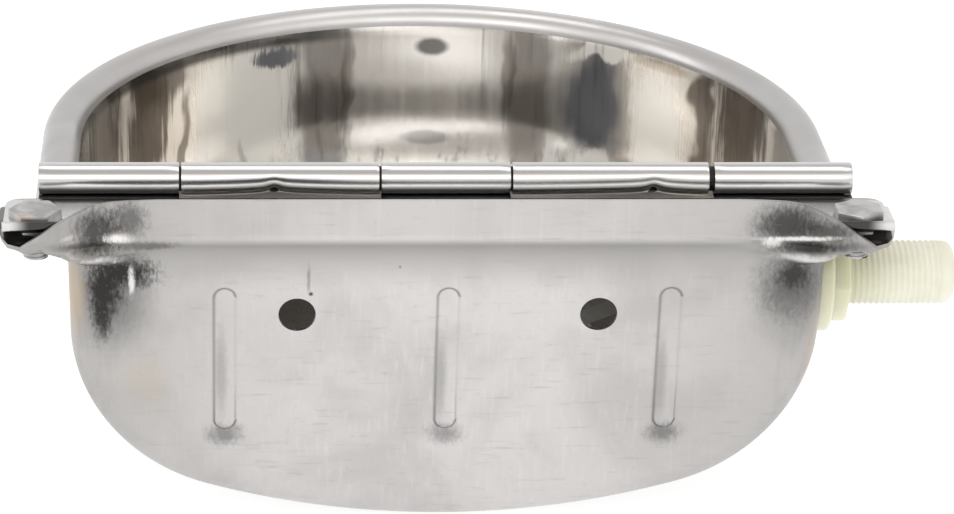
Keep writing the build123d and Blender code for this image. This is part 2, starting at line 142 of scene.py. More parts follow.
class HingeSizes(PropertyGroup):
    barrel_radius: length("Barrel", "Outside radius of the barrel", 5.325)
    middle_knuckle: length("Middle knuckle", "Centre to the end of the middle knuckle", 21.2)
    flap_knuckle: length("Flap knuckle", "Length of a flap knuckle", 64.2)
    knuckle_gap: length("Knuckle gap", "Gap between two knuckles", 0.7)
    right_drift: length("Right drift", "Right knuckle further out than the left one", 1.1)
    lip_height: length("Lip", "Height of the strip's turned-up edge", 3.6)
    strip_depth: length("Strip depth", "Front edge of the strip ahead of the holes", 22)
    crimp_depth: length("Crimp", "Depth of the crimp that holds the pin", 1.5)
    crimp_width: length("Crimp width", "Half width of the crimp", 2.0)
    left_crimp: length("Left crimp", "Middle of the bowl to the left crimp", 55.3)
    right_crimp: length("Right crimp", "Middle of the bowl to the right crimp", 67.2)
    flap_slope: turn("Flap slope", "Slope of the closed flap", 38)
    flap_length: length("Flap length", "Pin to the front edge of the flap", 112)
    flap_corner: length("Flap corner", "Rounding of the flap's front corners", 34)
    flap_lip: length("Flap lip", "Depth of the flap's folded front edge", 8)
    flap_notch: length("Flap notch", "Pin to the flap's edge at the fixed knuckles", 7)
    flap_bend: length("Flap bend", "Rounding of the flap's folded front edge", 2.2)
    strip_corner: length("Strip corner", "Rounding of the strip's front corners", 5)
    strip_bend: length("Strip bend", "Rounding at the foot of the strip's lip", 1.1)
    barrel_overhang: length("Barrel overhang", "Pin end to the end of the barrel", 0.8)


class FastenerSizes(PropertyGroup):
    bolt_radius: length("Bolt", "Radius of the ear bolts", 4)
    bolt_pitch: length("Bolt pitch", "Pitch of the bolt thread", 1.25)
    bolt_thread: length("Bolt thread", "Depth of the bolt thread", 0.55)
    tip_length: length("Tip length", "Length of the bevelled bolt tip", 0.65)
    tip_bevel: length("Tip bevel", "Width of the bevel round the bolt tip", 0.6)
    head_flats: length("Head", "Bolt head across its flats", 14.5)
    nut_flats: length("Nut", "Nut across its flats", 13)
    chamfer: turn("Chamfer", "Slope of the chamfer on heads and nuts", 27)


class InletSizes(PropertyGroup):
    thread_pitch: length("Thread pitch", "Pitch of the inlet thread", 1.92)
    thread_depth: length("Thread depth", "Depth of the inlet thread", 0.45)
    pilot: length("Pilot", "Plain end of the inlet", 5.4)
    end_rounding: length("End rounding", "Rounding of the inlet's end", 3.2)
    bore: length("Bore", "Radius of the water way", 5.5)
    flange: length("Flange", "Radius of the flange inside the wall", 15)
    flange_depth: length("Flange depth", "Thickness of that flange", 5)
    barrel: length("Barrel", "Radius of the valve barrel", 12)
    plunger_bare: length("Plunger bare", "Length of plunger that the barrel leaves bare", 7.7)
    cheek: length("Cheek", "Thickness of a cheek that holds the lever", 4)
    cheek_gap: length("Cheek gap", "Middle of the inlet to the inside of a cheek", 4.3)
    cheek_drop: length("Cheek drop", "Lever pin to the bottom of a cheek", 3.5)
    cheek_rise: length("Cheek rise", "Middle of the inlet to the top of a cheek", 5)


class FinishColours(PropertyGroup):
    steel: colour("Steel", "Satin steel of the outside", (0.635, 0.62, 0.615))
    rim: colour("Rim", "Brighter satin steel of the rolled rim", (0.68, 0.67, 0.67))
    # steel_dark gives random darker patches, and is also the painted shade towards the sides, at the side edges,
    # on and under the band, and in the dull marks.
    steel_dark: colour("Steel shadow", "Darker patches of the satin steel", (0.40, 0.39, 0.38))
    # scuff is also the near-black of painted shade: along the rib outlines, in the strip's crevice and on its lip,
    # under the strip, along the foot of the rim inside, and on the hinge pin seen in the knuckle gaps.
    scuff: colour("Scuff", "Scorched scuffs at the upper corners", (0.045, 0.044, 0.043))
    stain: colour("Stain", "Beige and rusty stains", (0.50, 0.41, 0.30))
    polish: colour("Polish", "Polished steel of the strip and the flap", (0.71, 0.71, 0.715))
    # The inside's bright, dark and cool tones paint the polished wall's reflections as streaks.
    inside: colour("Inside", "Polished steel of the inside", (0.86, 0.825, 0.775))
    inside_bright: colour("Bright streaks", "Brightest streaks of the inside",
                          (1.0, 0.975, 0.92))
    inside_dark: colour("Dark streaks", "Brown drawn streaks of the inside",
                        (0.125, 0.098, 0.075))
    inside_cool: colour("Cool streaks", "Blue-grey streaks of the inside", (0.27, 0.29, 0.34))
    ivory: colour("Ivory", "Moulded plastic of the inlet", (0.84, 0.83, 0.71))
    ivory_deep: colour("Ivory shade", "Deeper tone of the inlet", (0.56, 0.56, 0.40))
    white_plastic: colour("White", "Plastic of the float and lever", (0.84, 0.84, 0.80))
    rubber: colour("Rubber", "Gasket and seal", (0.03, 0.03, 0.03))
    brass: colour("Brass", "Nozzle", (0.72, 0.52, 0.24))


class StageSettings(PropertyGroup):
    azimuth: turn("Azimuth", "Camera round the bowl", -3.6)
    elevation: turn("Elevation", "Camera above the level", 21.5)
    roll: turn("Roll", "Tilt of the camera about its axis", 1.27)
    distance: FloatProperty(name="Distance", description="Camera to the aim", default=1.25,
                            unit="LENGTH")
    aim: FloatVectorProperty(name="Aim", description="Point the camera looks at", size=3,
                             default=(0, 0.0526, 0.0119), subtype="XYZ", unit="LENGTH")
    focal: FloatProperty(name="Focal length", description="In frame widths", default=3.9605)
    shift: FloatVectorProperty(name="Shift", description="Lens shift, in frame widths", size=2,
                               default=(0.0388, -0.0396))
    floor: colour("Floor", "Pale floor", (0.38, 0.38, 0.38))
    floor_size: FloatProperty(name="Floor size", description="Edge of the floor", default=9.0,
                              unit="LENGTH")


SETTINGS = {
    "drinker_bowl": BowlSizes,
    "drinker_hinge": HingeSizes,
    "drinker_fasteners": FastenerSizes,
    "drinker_inlet": InletSizes,
    "drinker_finish": FinishColours,
    "drinker_stage": StageSettings,
}


# ---------------------------------------------------------------- mesh helpers

def chain(bm, points):
    """A line of vertices joined by edges."""
    verts = [bm.verts.new(p) for p in points]
    edges = [bm.edges.new(pair) for pair in zip(verts, verts[1:])]
    return verts, edges


def pull(bm, edges, shift=(0, 0, 0)):
    """Extrude a line of edges.  Gives the new vertices and the new edges along the line."""
    made = bmesh.ops.extrude_edge_only(bm, edges=edges)["geom"]
    verts = [g for g in made if isinstance(g, bmesh.types.BMVert)]
    fresh = set(verts)
    along = [g for g in made if isinstance(g, bmesh.types.BMEdge) and set(g.verts) <= fresh]
    bmesh.ops.translate(bm, verts=verts, vec=shift)
    return verts, along


def arc(centre, radius, start, end, steps):
    """Points (a, b) round a centre, with angles in degrees."""
    angles = [radians(start + (end - start) * i / steps) for i in range(steps + 1)]
    return [(centre[0] + radius * cos(t), centre[1] + radius * sin(t)) for t in angles]


def lathe(bm, profile, origin, axis, steps=64):
    """Turn a profile of (along, radius) points about an axis through origin."""
    side = axis.orthogonal().normalized()
    verts, edges = chain(bm, [origin + axis * a + side * r for a, r in profile])
    bmesh.ops.spin(bm, geom=verts + edges, cent=origin, axis=axis, angle=2 * pi, steps=steps,
                   use_merge=True)
    bmesh.ops.remove_doubles(bm, verts=bm.verts, dist=0.001 * MM)


def face_outwards(bm, face):
    """Make the normals agree, with this face looking away from the middle of the bowl."""
    bmesh.ops.recalc_face_normals(bm, faces=bm.faces)
    away = face.calc_center_median() - Vector((0, HINGE.y, 0))
    if face.normal.dot(away) < 0:
        bmesh.ops.reverse_faces(bm, faces=bm.faces)


def finished(name, bm, materials, body, slot, *nodes, sheet=0.0, offset=-1.0, rounding=0.0,
             inner_offset=0, sharp=35):
    """Make a piece of a bmesh: give a sheet its thickness, round it, and let it ride."""
    mesh = bpy.data.meshes.new(name)
    bm.to_mesh(mesh)
    bm.free()
    piece = bpy.data.objects.new(name, mesh)
    bpy.context.scene.collection.objects.link(piece)
    for material in materials:
        mesh.materials.append(material)
    if sheet:
        thick = piece.modifiers.new("sheet", "SOLIDIFY")
        thick.thickness = sheet
        thick.offset = offset
        thick.use_even_offset = True
        thick.use_quality_normals = True
        thick.material_offset = inner_offset
    if rounding:
        soft = piece.modifiers.new("rounding", "BEVEL")
        soft.width = rounding
        soft.segments = 2
        soft.limit_method = "ANGLE"
        soft.angle_limit = radians(60)
    if piece.modifiers:
        graph = bpy.context.evaluated_depsgraph_get()
        piece.data = bpy.data.meshes.new_from_object(piece.evaluated_get(graph))
        piece.modifiers.clear()
        bpy.data.meshes.remove(mesh)
    piece.data.name = name
    piece.data.polygons.foreach_set("use_smooth", [True] * len(piece.data.polygons))
    piece.data.set_sharp_from_angle(angle=radians(sharp))
    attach(piece, body)
    if nodes:
        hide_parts(*nodes)
    return piece


# ---------------------------------------------------------------- curves of the flange

def between(places, values, at):
    """Smooth, never overshooting curve through values at rising places."""
    at = min(max(at, places[0]), places[-1])
    i = max(k for k in range(len(places) - 1) if places[k] <= at)
    steps = [b - a for a, b in zip(places, places[1:])]
    rises = [(b - a) / h for a, b, h in zip(values, values[1:], steps)]

    def slope_at(k):
        if k == 0 or k == len(places) - 1:
            return 0.0
        a, b = rises[k - 1], rises[k]
        return 0.0 if a * b <= 0 else 2 * a * b / (a + b)

    h = steps[i]
    t = (at - places[i]) / h
    start, end = slope_at(i) * h, slope_at(i + 1) * h
    return ((2 * t ** 3 - 3 * t ** 2 + 1) * values[i] + (t ** 3 - 2 * t ** 2 + t) * start
            + (3 * t ** 2 - 2 * t ** 3) * values[i + 1] + (t ** 3 - t ** 2) * end)


def through(points, at):
    """Catmull-Rom curve through 2-D points, at from 0 to the last index."""
    i = min(int(at), len(points) - 2)
    t = at - i
    p = [points[min(max(k, 0), len(points) - 1)] for k in (i - 1, i, i + 1, i + 2)]
    weights = (-t ** 3 + 2 * t ** 2 - t, 3 * t ** 3 - 5 * t ** 2 + 2,
               -3 * t ** 3 + 4 * t ** 2 + t, t ** 3 - t ** 2)
    return [sum(w * q[axis] for w, q in zip(weights, p)) / 2 for axis in (0, 1)]


# Sections of the flange along the rim's way round, in millimetres outwards from the wall and
# up from the part's origin.  Each runs from the root to the free edge in nine points.
CORNER_TURN = 30.0          # way round given to the corner between back and side
BACK_END = 112.8
SIDE_START = BACK_END + CORNER_TURN
RIM_START = SIDE_START + 17     # where the rim's own steel starts
PLAIN_ROWS = 3                  # rows of the flange that still have the wall's steel
RIM_SLOT = 2                    # material slot of the rim's steel
BAND = [(0, 17.9), (0.4, 20.2), (1.4, 22.8), (2.9, 25.2), (4.4, 27.2), (4.9, 29.6),
        (4.9, 34.6), (4.9, 39.2), (4.7, 41.9)]
BAND_END = [(0, 17.9), (0.8, 19.8), (2.4, 21.8), (4.1, 24.0), (4.2, 26.6), (5.2, 28.6),
            (4.7, 33.6), (4.7, 38.6), (4.9, 41.3)]
WING_BACK = [(0, 17.9), (1.9, 19.3), (5.0, 20.8), (6.2, 23.2), (4.0, 26.0), (5.3, 28.6),
             (3.9, 32.4), (4.2, 36.4), (4.9, 39.6)]
WING_TURN = [(0, 17.9), (2.1, 19.4), (5.6, 20.7), (8.0, 22.6), (6.6, 25.2), (7.6, 27.8),
             (6.3, 30.4), (6.5, 33.4), (7.2, 35.6)]
WING_OUT = [(0, 17.9), (1.2, 20.4), (3.6, 21.9), (7.0, 22.3), (9.8, 22.9), (10.7, 24.8),
            (11.1, 26.8), (11.7, 29.0), (12.2, 30.7)]
WING_TIP = [(0, 17.9), (0.7, 20.9), (2.5, 23.0), (5.6, 23.8), (9.2, 23.6), (12.6, 23.2),
            (15.6, 23.2), (17.6, 23.7), (18.8, 24.6)]
EAR_BACK = [(0, 17.9), (0.3, 21.0), (1.0, 24.6), (2.8, 27.4), (6.4, 28.3), (10.8, 28.1),
            (15.2, 27.5), (18.9, 26.6), (21.2, 25.9)]
EAR = [(0, 17.9), (0, 21.0), (0.2, 24.6), (1.2, 27.4), (3.8, 28.8), (8.5, 28.9),
       (14.0, 28.9), (18.8, 28.9), (21.7, 28.8)]
EAR_FRONT = [(0, 17.9), (0, 21.6), (0.3, 24.8), (1.2, 27.3), (3.4, 28.8), (7.0, 28.9),
             (11.0, 28.8), (14.0, 28.2), (15.6, 27.2)]


def rolled_section(sizes):
    inner = (sizes.roll_radius - SHEET) / MM
    root = (0.0, sizes.flange_root / MM)
    level = (sizes.rim_crest - sizes.roll_radius) / MM
    return [root] + arc((inner, level), inner, 180, -20, 7)


def flange_keys(sizes):
    roll = rolled_section(sizes)
    side = SIDE_START
    return [(0, BAND), (88, BAND), (104, BAND_END), (BACK_END, WING_BACK),
            (BACK_END + 10, WING_TURN), (BACK_END + 16.7, WING_OUT),
            (BACK_END + 20.7, WING_TIP), (BACK_END + 24, EAR_BACK), (side, EAR),
            (side + 11, EAR), (side + 17.5, EAR_FRONT), (side + 23, roll), (side + 200, roll)]


def flange_section(sizes, way):
    keys = flange_keys(sizes)
    places = [k for k, _ in keys]
    return [tuple(between(places, [s[i][axis] for _, s in keys], way) for axis in (0, 1))
            for i in range(len(BAND))]


# ---------------------------------------------------------------- the pressed bowl

def front_centre(sizes):
    rim_reach = WALL_INSIDE + 2 * sizes.roll_radius
    return SHELL_HIGH.y - rim_reach


def wall_section(sizes):
    """Outside of the bowl from the middle of the bottom up to the flange, as (x, z)."""
    dome, corner = sizes.dome_radius, sizes.corner_radius
    dome_z = SHELL_LOW.z + dome
    across = HALF_WIDTH - corner
    corner_z = dome_z - sqrt((dome - corner) ** 2 - across ** 2)
    meet = degrees(atan2(corner_z - dome_z, across))
    points = arc((0, dome_z), dome, -90, meet, 14)
    points += arc((across, corner_z), corner, meet, 0, 26)[1:]
    straight = 6
    rise = (sizes.flange_root - corner_z) / straight
    points += [(HALF_WIDTH, corner_z + rise * i) for i in range(1, straight + 1)]
    draft = tan(sizes.draft) / HALF_WIDTH ** 2
    return [(x - (sizes.flange_root - z) * x * x * draft, z) for x, z in points]


def panel_normal(sizes):
    return Vector((0, -cos(sizes.panel_lean), -sin(sizes.panel_lean)))


def cut_lines(bm, faces, normal, places):
    """Score parallel lines into faces and give back all the faces that they then are."""
    for place in places:
        parts = set(faces)
        edges = {e for f in faces for e in f.edges}
        verts = {v for f in faces for v in f.verts}
        geometry = list(parts) + list(edges) + list(verts)
        cut = bmesh.ops.bisect_plane(bm, geom=geometry, dist=0.0001 * MM,
                                     plane_co=Vector(normal) * place, plane_no=normal)
        faces = [g for g in cut["geom"] if isinstance(g, bmesh.types.BMFace)]
    return faces


def steps_between(low, high, step):
    count = max(1, round((high - low) / step))
    return [low + (high - low) * i / count for i in range(count + 1)]


def finer(bm, faces, span_x, span_z, step_x, step_z):
    """Score a finer net into the faces that reach into an upright window."""
    window, kept = [], []
    for f in faces:
        xs, zs = [v.co.x for v in f.verts], [v.co.z for v in f.verts]
        reaches = (max(xs) > span_x[0] and min(xs) < span_x[1]
                   and max(zs) > span_z[0] and min(zs) < span_z[1])
        (window if reaches else kept).append(f)
    if step_x:
        window = cut_lines(bm, window, ACROSS, steps_between(*span_x, step_x))
    return kept + cut_lines(bm, window, UP, steps_between(*span_z, step_z))


def lower_body(bm, sizes):
    """Bowl below the flange: turned front, straight sides, flat back with a rounding."""
    middle = front_centre(sizes)
    verts, edges = chain(bm, [(x, middle, z) for x, z in wall_section(sizes)])
    turned = bmesh.ops.spin(bm, geom=verts + edges, cent=(0, middle, 0), axis=UP,
                            angle=pi, steps=sizes.front_steps)
    last = [g for g in turned["geom_last"] if isinstance(g, bmesh.types.BMEdge)]
    rows_back = [-8 * MM] * 8 + [-60 * MM]
    for side in (edges, last):
        for row in rows_back:
            side = pull(bm, side, (0, row, 0))[1]
    bmesh.ops.remove_doubles(bm, verts=bm.verts, dist=0.01 * MM)
    cut = bmesh.ops.bisect_plane(bm, geom=bm.verts[:] + bm.edges[:] + bm.faces[:],
                                 dist=0.001 * MM, plane_co=(0, 0, 0),
                                 plane_no=panel_normal(sizes), clear_outer=True)
    outline = [g for g in cut["geom_cut"] if isinstance(g, bmesh.types.BMEdge)]
    ends = [v for e in outline for v in e.verts
            if sum(o in outline for o in v.link_edges) == 1]
    top = bm.edges.new(ends)
    bmesh.ops.edgeloop_fill(bm, edges=outline + [top])
    rounded = {v for e in outline for v in e.verts}
    bmesh.ops.bevel(bm, geom=list(rounded) + outline, offset=sizes.panel_fillet,
                    offset_type="OFFSET", segments=12, profile=0.5, affect="EDGES",
                    clamp_overlap=False, material=-1)
    bmesh.ops.recalc_face_normals(bm, faces=bm.faces)


def rib_places(sizes):
    return (-sizes.rib_spacing, 0, sizes.rib_spacing)


def score_panel(bm, sizes):
    """Fine net of lines in the back panel, finer at the holes and the ribs."""
    panel = max(bm.faces, key=lambda f: f.calc_area())
    net_half_width, net_low, net_high = 110.4 * MM, -72 * MM, 16 * MM
    column, row = 2.4 * MM, 4 * MM
    hole_reach, hole_step = 8 * MM, 1 * MM
    rib_step_x, rib_step_z, end_length, end_step = 0.45 * MM, 1.5 * MM, 7 * MM, 0.45 * MM
    faces = cut_lines(bm, [panel], ACROSS,
                      steps_between(-net_half_width, net_half_width, column))
    faces = cut_lines(bm, faces, UP, steps_between(net_low, net_high, row))
    for x in HOLE_PLACES:
        faces = finer(bm, faces, (x - hole_reach, x + hole_reach),
                      (-hole_reach, hole_reach), hole_step, hole_step)
    half_rib = sizes.rib_length / 2 + 2 * MM
    reach = sizes.rib_width / 2 + 1.5 * MM
    low, high = sizes.rib_centre - half_rib, sizes.rib_centre + half_rib
    for x in rib_places(sizes):
        across = (x - reach, x + reach)
        faces = finer(bm, faces, across, (low, high), rib_step_x, rib_step_z)
        for end in (low, high - end_length):
            faces = finer(bm, faces, across, (end, end + end_length), None, end_step)
    return faces


def smooth_step(low, high, value):
    t = min(max((value - low) / (high - low), 0), 1)
    return t * t * (3 - 2 * t)


def press_ribs(bm, faces, sizes):
    """Push each rib's face in at its top and out at its bottom, and shade its outline."""
    normal = panel_normal(sizes)
    half_width = sizes.rib_width / 2
    half_length = sizes.rib_length / 2 - half_width
    wall, line_width = 0.45 * MM, 0.8 * MM
    crease = bm.verts.layers.float.new("crease")
    for v in {v for f in faces for v in f.verts}:
        for x in rib_places(sizes):
            up = (v.co.z - sizes.rib_centre) / cos(sizes.panel_lean)
            past = max(abs(up) - half_length, 0)
            outside = hypot(v.co.x - x, past) - half_width
            if outside < MM:
                press = 1 - smooth_step(-wall, wall, outside)
                # Painted shade along the rib's outline: strongest round the ends and along the left side, faint
                # along the right.
                lit = 0.5 + 0.5 * (v.co.x - x) / half_width
                line = 0.95 if past else 0.8 - 0.65 * lit
                v[crease] = line * (1 - smooth_step(0, line_width, abs(outside)))
                v.co -= normal * press * (up * tan(sizes.rib_lean) - sizes.rib_proud)
                break


def punch_holes(bm, faces, sizes):
    """Open the two wall holes and pull the net's edge onto their circles."""
    for x in HOLE_PLACES:
        def reach(v):
            return hypot(v.co.x - x, v.co.z)
        close = [f for f in faces
                 if f.is_valid and any(reach(v) < HOLE_RADIUS for v in f.verts)]
        ring = {v for f in close for v in f.verts if reach(v) >= HOLE_RADIUS}
        bmesh.ops.delete(bm, geom=close, context="FACES")
        for v in ring:
            if v.is_valid:
                scale = HOLE_RADIUS / reach(v)
                v.co.x = x + (v.co.x - x) * scale
                v.co.z *= scale
                v.co.y = -v.co.z * tan(sizes.panel_lean)


def station(sizes, place, corner_y):
    """Way round the rim, in millimetres, and the level direction outwards, for a place."""
    middle = front_centre(sizes)
    side = 1 if place.x >= 0 else -1
    across = abs(place.x)
    if place.y >= middle:
        out = Vector((place.x, place.y - middle, 0)).normalized()
        return SIDE_START + (middle - corner_y) / MM, out
    if place.y >= corner_y:
        return SIDE_START + (place.y - corner_y) / MM, Vector((side, 0, 0))
    if across <= BACK_END * MM:
        return across / MM, Vector((0, -1, 0))
    angle = atan2(across - BACK_END * MM, corner_y - place.y)
    way = BACK_END + CORNER_TURN * angle / (pi / 2)
    return way, Vector((side * sin(angle), -cos(angle), 0))


def raise_flange(bm, sizes):
    """Rolled rim, ears, wings and band, raised row by row from the top of the bowl."""
    rim = [e for e in bm.edges if e.is_boundary]
    panel_y = -sizes.flange_root * tan(sizes.panel_lean)
    corner_y = panel_y + sizes.panel_fillet
    root = {}
    for v in {v for e in rim for v in e.verts}:
        way, out = station(sizes, v.co, corner_y)
        root[v] = (v.co.copy(), out, flange_section(sizes, way), way)
    spans = len(BAND) - 1
    rows = 3 * spans
    for row in range(1, rows + 1):
        made = set(bm.faces)
        verts, rim = pull(bm, rim)
        fresh = {}
        for v in verts:
            below = next(e.other_vert(v) for e in v.link_edges if e.other_vert(v) in root)
            start, out, section, _ = root[below]
            reach, height = through(section, row * spans / rows)
            v.co = Vector((start.x, start.y, 0)) + out * reach * MM
            v.co.z = height * MM
            fresh[v] = root[below]
        for f in set(bm.faces) - made:
            way = min(fresh[v][3] for v in f.verts if v in fresh)
            if way > RIM_START and row > PLAIN_ROWS:
                f.material_index = RIM_SLOT
        root = fresh


def bowl_piece(sizes):
    """The whole pressed shell, with its inside in the second material slot."""
    bm = bmesh.new()
    lower_body(bm, sizes)
    side_back, side_front, side_step = 7 * MM, 34 * MM, 1.5 * MM
    side_faces = [f for f in bm.faces if f.calc_center_median().y < side_front + 6 * MM
                  and abs(f.normal.x) > 0.5]
    cut_lines(bm, side_faces, AHEAD, steps_between(side_back, side_front, side_step))
    panel = score_panel(bm, sizes)
    raise_flange(bm, sizes)
    press_ribs(bm, panel, sizes)
    punch_holes(bm, panel, sizes)
    wall = max((f for f in bm.faces if f.calc_center_median().y > front_centre(sizes)),
               key=lambda f: f.calc_area())
    face_outwards(bm, wall)
    materials = [satin_steel(), mirror_steel(), rim_steel(), rim_steel()]
    return finished("pressed_bowl", bm, materials, "bowl", "satin_steel", "bowl_shell",
                    sheet=SHEET, inner_offset=1, rounding=sizes.edge_rounding)


# ---------------------------------------------------------------- strip, barrel and flap

CUT_EDGE = 0.22 * MM        # rounding of the cut edges of the strip and the flap


def knuckle_spans(sizes):
    """Spans of the fixed and of the flap knuckles along X."""
    inner = sizes.middle_knuckle
    outer = inner + sizes.flap_knuckle
    end = PIN_HIGH.x + sizes.barrel_overhang
    gap = sizes.knuckle_gap / 2
    drift = sizes.right_drift
    fixed = ((-end, -outer - gap), (-inner + gap, inner - gap),
             (outer + gap + drift, end + drift))
    swinging = ((-outer + gap, -inner - gap), (inner + gap, outer - gap))
    return fixed, swinging


def swept_sheet(bm, section, start, end, steps=1):
    """Sheet with a section of (y, z) points, drawn out along X."""
    edges = chain(bm, [(start, y, z) for y, z in section])[1]
    for _ in range(steps):
        edges = pull(bm, edges, ((end - start) / steps, 0, 0))[1]


def plate(bm, outline):
    """Flat face inside an outline.  Gives the edges of the outline but for its last one."""
    verts, edges = chain(bm, outline)
    bm.edges.new((verts[-1], verts[0]))
    bmesh.ops.contextual_create(bm, geom=verts)
    return edges


def hinge_strip_piece(sizes):
    """Strip with its turned-up edge and three curled knuckles, drawn as a middle surface."""
    bm = bmesh.new()
    half = SHEET / 2
    level = STRIP_LOW.z + half
    back = STRIP_LOW.y + half
    front = sizes.strip_depth
    corner, bend = sizes.strip_corner, sizes.strip_bend
    reach = STRIP_HIGH.x
    lip = [(back, STRIP_LOW.z + sizes.lip_height)]
    lip += arc((back + bend, level + bend), bend, 180, 270, 5)
    swept_sheet(bm, lip + [(front - corner, level)], -reach, reach)
    outline = arc((-reach + corner, front - corner), corner, 180, 90, 6)
    outline += arc((reach - corner, front - corner), corner, 90, 0, 6)
    plate(bm, [(x, y, level) for x, y in outline])
    bmesh.ops.remove_doubles(bm, verts=bm.verts, dist=0.01 * MM)
    curl_end = 229
    turn_round = [(front, level), (HINGE.y - MM, level)]
    turn_round += arc((HINGE.y, HINGE.z), sizes.barrel_radius - half, -90, curl_end, 46)
    for start, end in knuckle_spans(sizes)[0]:
        swept_sheet(bm, turn_round, start, end, 12)
    bmesh.ops.recalc_face_normals(bm, faces=bm.faces)
    return finished("hinge_strip_sheet", bm, [hinge_steel("strip steel", True)], "bowl",
                    "polished_steel", "hinge_strip", sheet=SHEET, offset=0, rounding=CUT_EDGE)


def crimp(sizes, x, facing, span):
    """How far a flap knuckle is pushed in: a wide dent, with a sharp one in its middle."""
    middle = sizes.right_crimp if x > 0 else -sizes.left_crimp
    half = abs(span[0 if x < middle else 1] - middle)
    away = abs(x - middle)
    wide = 0.55 * max(1 - away / half, 0) ** 1.6
    sharp = 0.75 / (1 + (away / sizes.crimp_width) ** 2)
    return sizes.crimp_depth * (wide + sharp - 0.12) * facing


def flap_piece(sizes):
    """Leaf with rounded corners, folded front edge and two crimped knuckles."""
    bm = bmesh.new()
    half = SHEET / 2
    curl = sizes.barrel_radius - half
    edge, corner = sizes.flap_length, sizes.flap_corner
    bend, notch = sizes.flap_bend, sizes.flap_notch
    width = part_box("cover_flap")[1].x
    straight = width - corner
    outline = [(-width, notch)]
    outline += arc((-straight, edge - corner - bend), corner, 180, 90, 12)
    outline += arc((straight, edge - corner - bend), corner, 90, 0, 12)
    outline += [(width, notch)]
    edges = plate(bm, [(x, y, curl) for x, y in outline])
    lip_line = [e for e in edges if all(abs(v.co.y - edge + bend) < 0.01 * MM for v in e.verts)]
    fold = arc((edge - bend, curl - bend), bend, 90, 0, 5)
    fold += [(edge, curl - sizes.flap_lip + half)]
    at = (edge - bend, curl)
    for y, z in fold[1:]:
        lip_line = pull(bm, lip_line, (0, y - at[0], z - at[1]))[1]
        at = (y, z)
    curl_end, crimp_lean = 402, radians(35)
    crimped = Vector((0, -sin(crimp_lean), -cos(crimp_lean)))
    slope = Matrix.Rotation(-sizes.flap_slope, 3, "X")
    for span in knuckle_spans(sizes)[1]:
        loop = [(notch, curl)] + arc((0, 0), curl, 90, curl_end, 44)
        before = set(bm.verts)
        swept_sheet(bm, loop, *span, 60)
        for v in set(bm.verts) - before:
            radial = Vector((0, v.co.y, v.co.z))
            if radial.length < 1.05 * curl and v.co.y < notch / 2:
                radial.normalize()
                facing = max((slope @ radial).dot(crimped), 0) ** 1.3
                v.co -= radial * crimp(sizes, v.co.x, facing, span)
    bmesh.ops.remove_doubles(bm, verts=bm.verts, dist=0.01 * MM)
    bmesh.ops.rotate(bm, verts=bm.verts, matrix=slope)
    bmesh.ops.translate(bm, verts=bm.verts, vec=HINGE)
    bmesh.ops.recalc_face_normals(bm, faces=bm.faces)
    return finished("flap_leaf", bm, [hinge_steel("flap steel", False)], "flap",
                    "satin_steel", "cover_flap", sheet=SHEET, offset=0, rounding=CUT_EDGE)


# ---------------------------------------------------------------- fasteners

BORE_PLAY = 0.02 * MM       # bore of a nut beyond its thread


def hex_block(bm, origin, axis, flats, low, high, turned, slope, both_ends, bore=0.0):
    """Hexagon with chamfered corners, from low to high along the axis."""
    first = AHEAD if abs(axis.x) > 0.5 else ACROSS
    second = axis.cross(first)
    made = bmesh.ops.create_circle(bm, segments=96, radius=flats / 2)["verts"]
    first_ring = [e for e in bm.edges if set(e.verts) <= set(made)]

    def side(a):
        part = (a - turned + pi / 6) % (pi / 3) - pi / 6
        return flats / 2 / cos(part)

    def face(a):
        return min(side(a) - 0.3 * MM, 0.55 * flats)

    def drop(a):
        return (side(a) - face(a)) * tan(slope)

    levels = [(face, lambda a: high), (side, lambda a: high - drop(a)),
              (side, lambda a: low + (drop(a) if both_ends else 0)), (face, lambda a: low)]
    if bore:
        levels += [(lambda a: bore, lambda a: low), (lambda a: bore, lambda a: high)]
    ring, angles = first_ring, {v: atan2(v.co.y, v.co.x) for v in made}
    for i, (radius_of, height_of) in enumerate(levels):
        if i:
            known = angles
            verts, ring = pull(bm, ring)
            angles = {v: next(known[e.other_vert(v)] for e in v.link_edges
                              if e.other_vert(v) in known) for v in verts}
        for v, a in angles.items():
            v.co = (origin + (first * cos(a) + second * sin(a)) * radius_of(a)
                    + axis * height_of(a))
    if bore:
        bmesh.ops.bridge_loops(bm, edges=first_ring + ring)
    else:
        bmesh.ops.holes_fill(bm, edges=first_ring + ring, sides=0)
    bmesh.ops.recalc_face_normals(bm, faces=bm.faces)


# A turn of thread as (share of the pitch, share of the depth).
TOOTH = ((0, 0), (0.10, 0), (0.42, 1), (0.58, 1), (0.90, 0), (1, 0))


def thread(bm, origin, axis, start, turns, pitch, crest, depth, steps=40):
    """Screw thread: a tooth one pitch long, wound round the axis."""
    side = axis.orthogonal().normalized()
    verts, edges = chain(bm, [origin + axis * (start + along * pitch)
                              + side * (crest - depth + rise * depth)
                              for along, rise in TOOTH])
    bmesh.ops.spin(bm, geom=verts + edges, cent=origin, axis=axis, angle=2 * pi * turns,
                   steps=int(steps * turns), dvec=axis * pitch / steps)
    bmesh.ops.remove_doubles(bm, verts=bm.verts, dist=0.002 * MM)


def face_away(bm):
    """Make the normals of a thread look away from the inlet's axis."""
    bmesh.ops.recalc_face_normals(bm, faces=bm.faces)
    one = next(iter(bm.faces))
    from_axis = one.calc_center_median() - INLET_AXIS
    from_axis.x = 0
    if one.normal.dot(from_axis) < 0:
        bmesh.ops.reverse_faces(bm, faces=bm.faces)


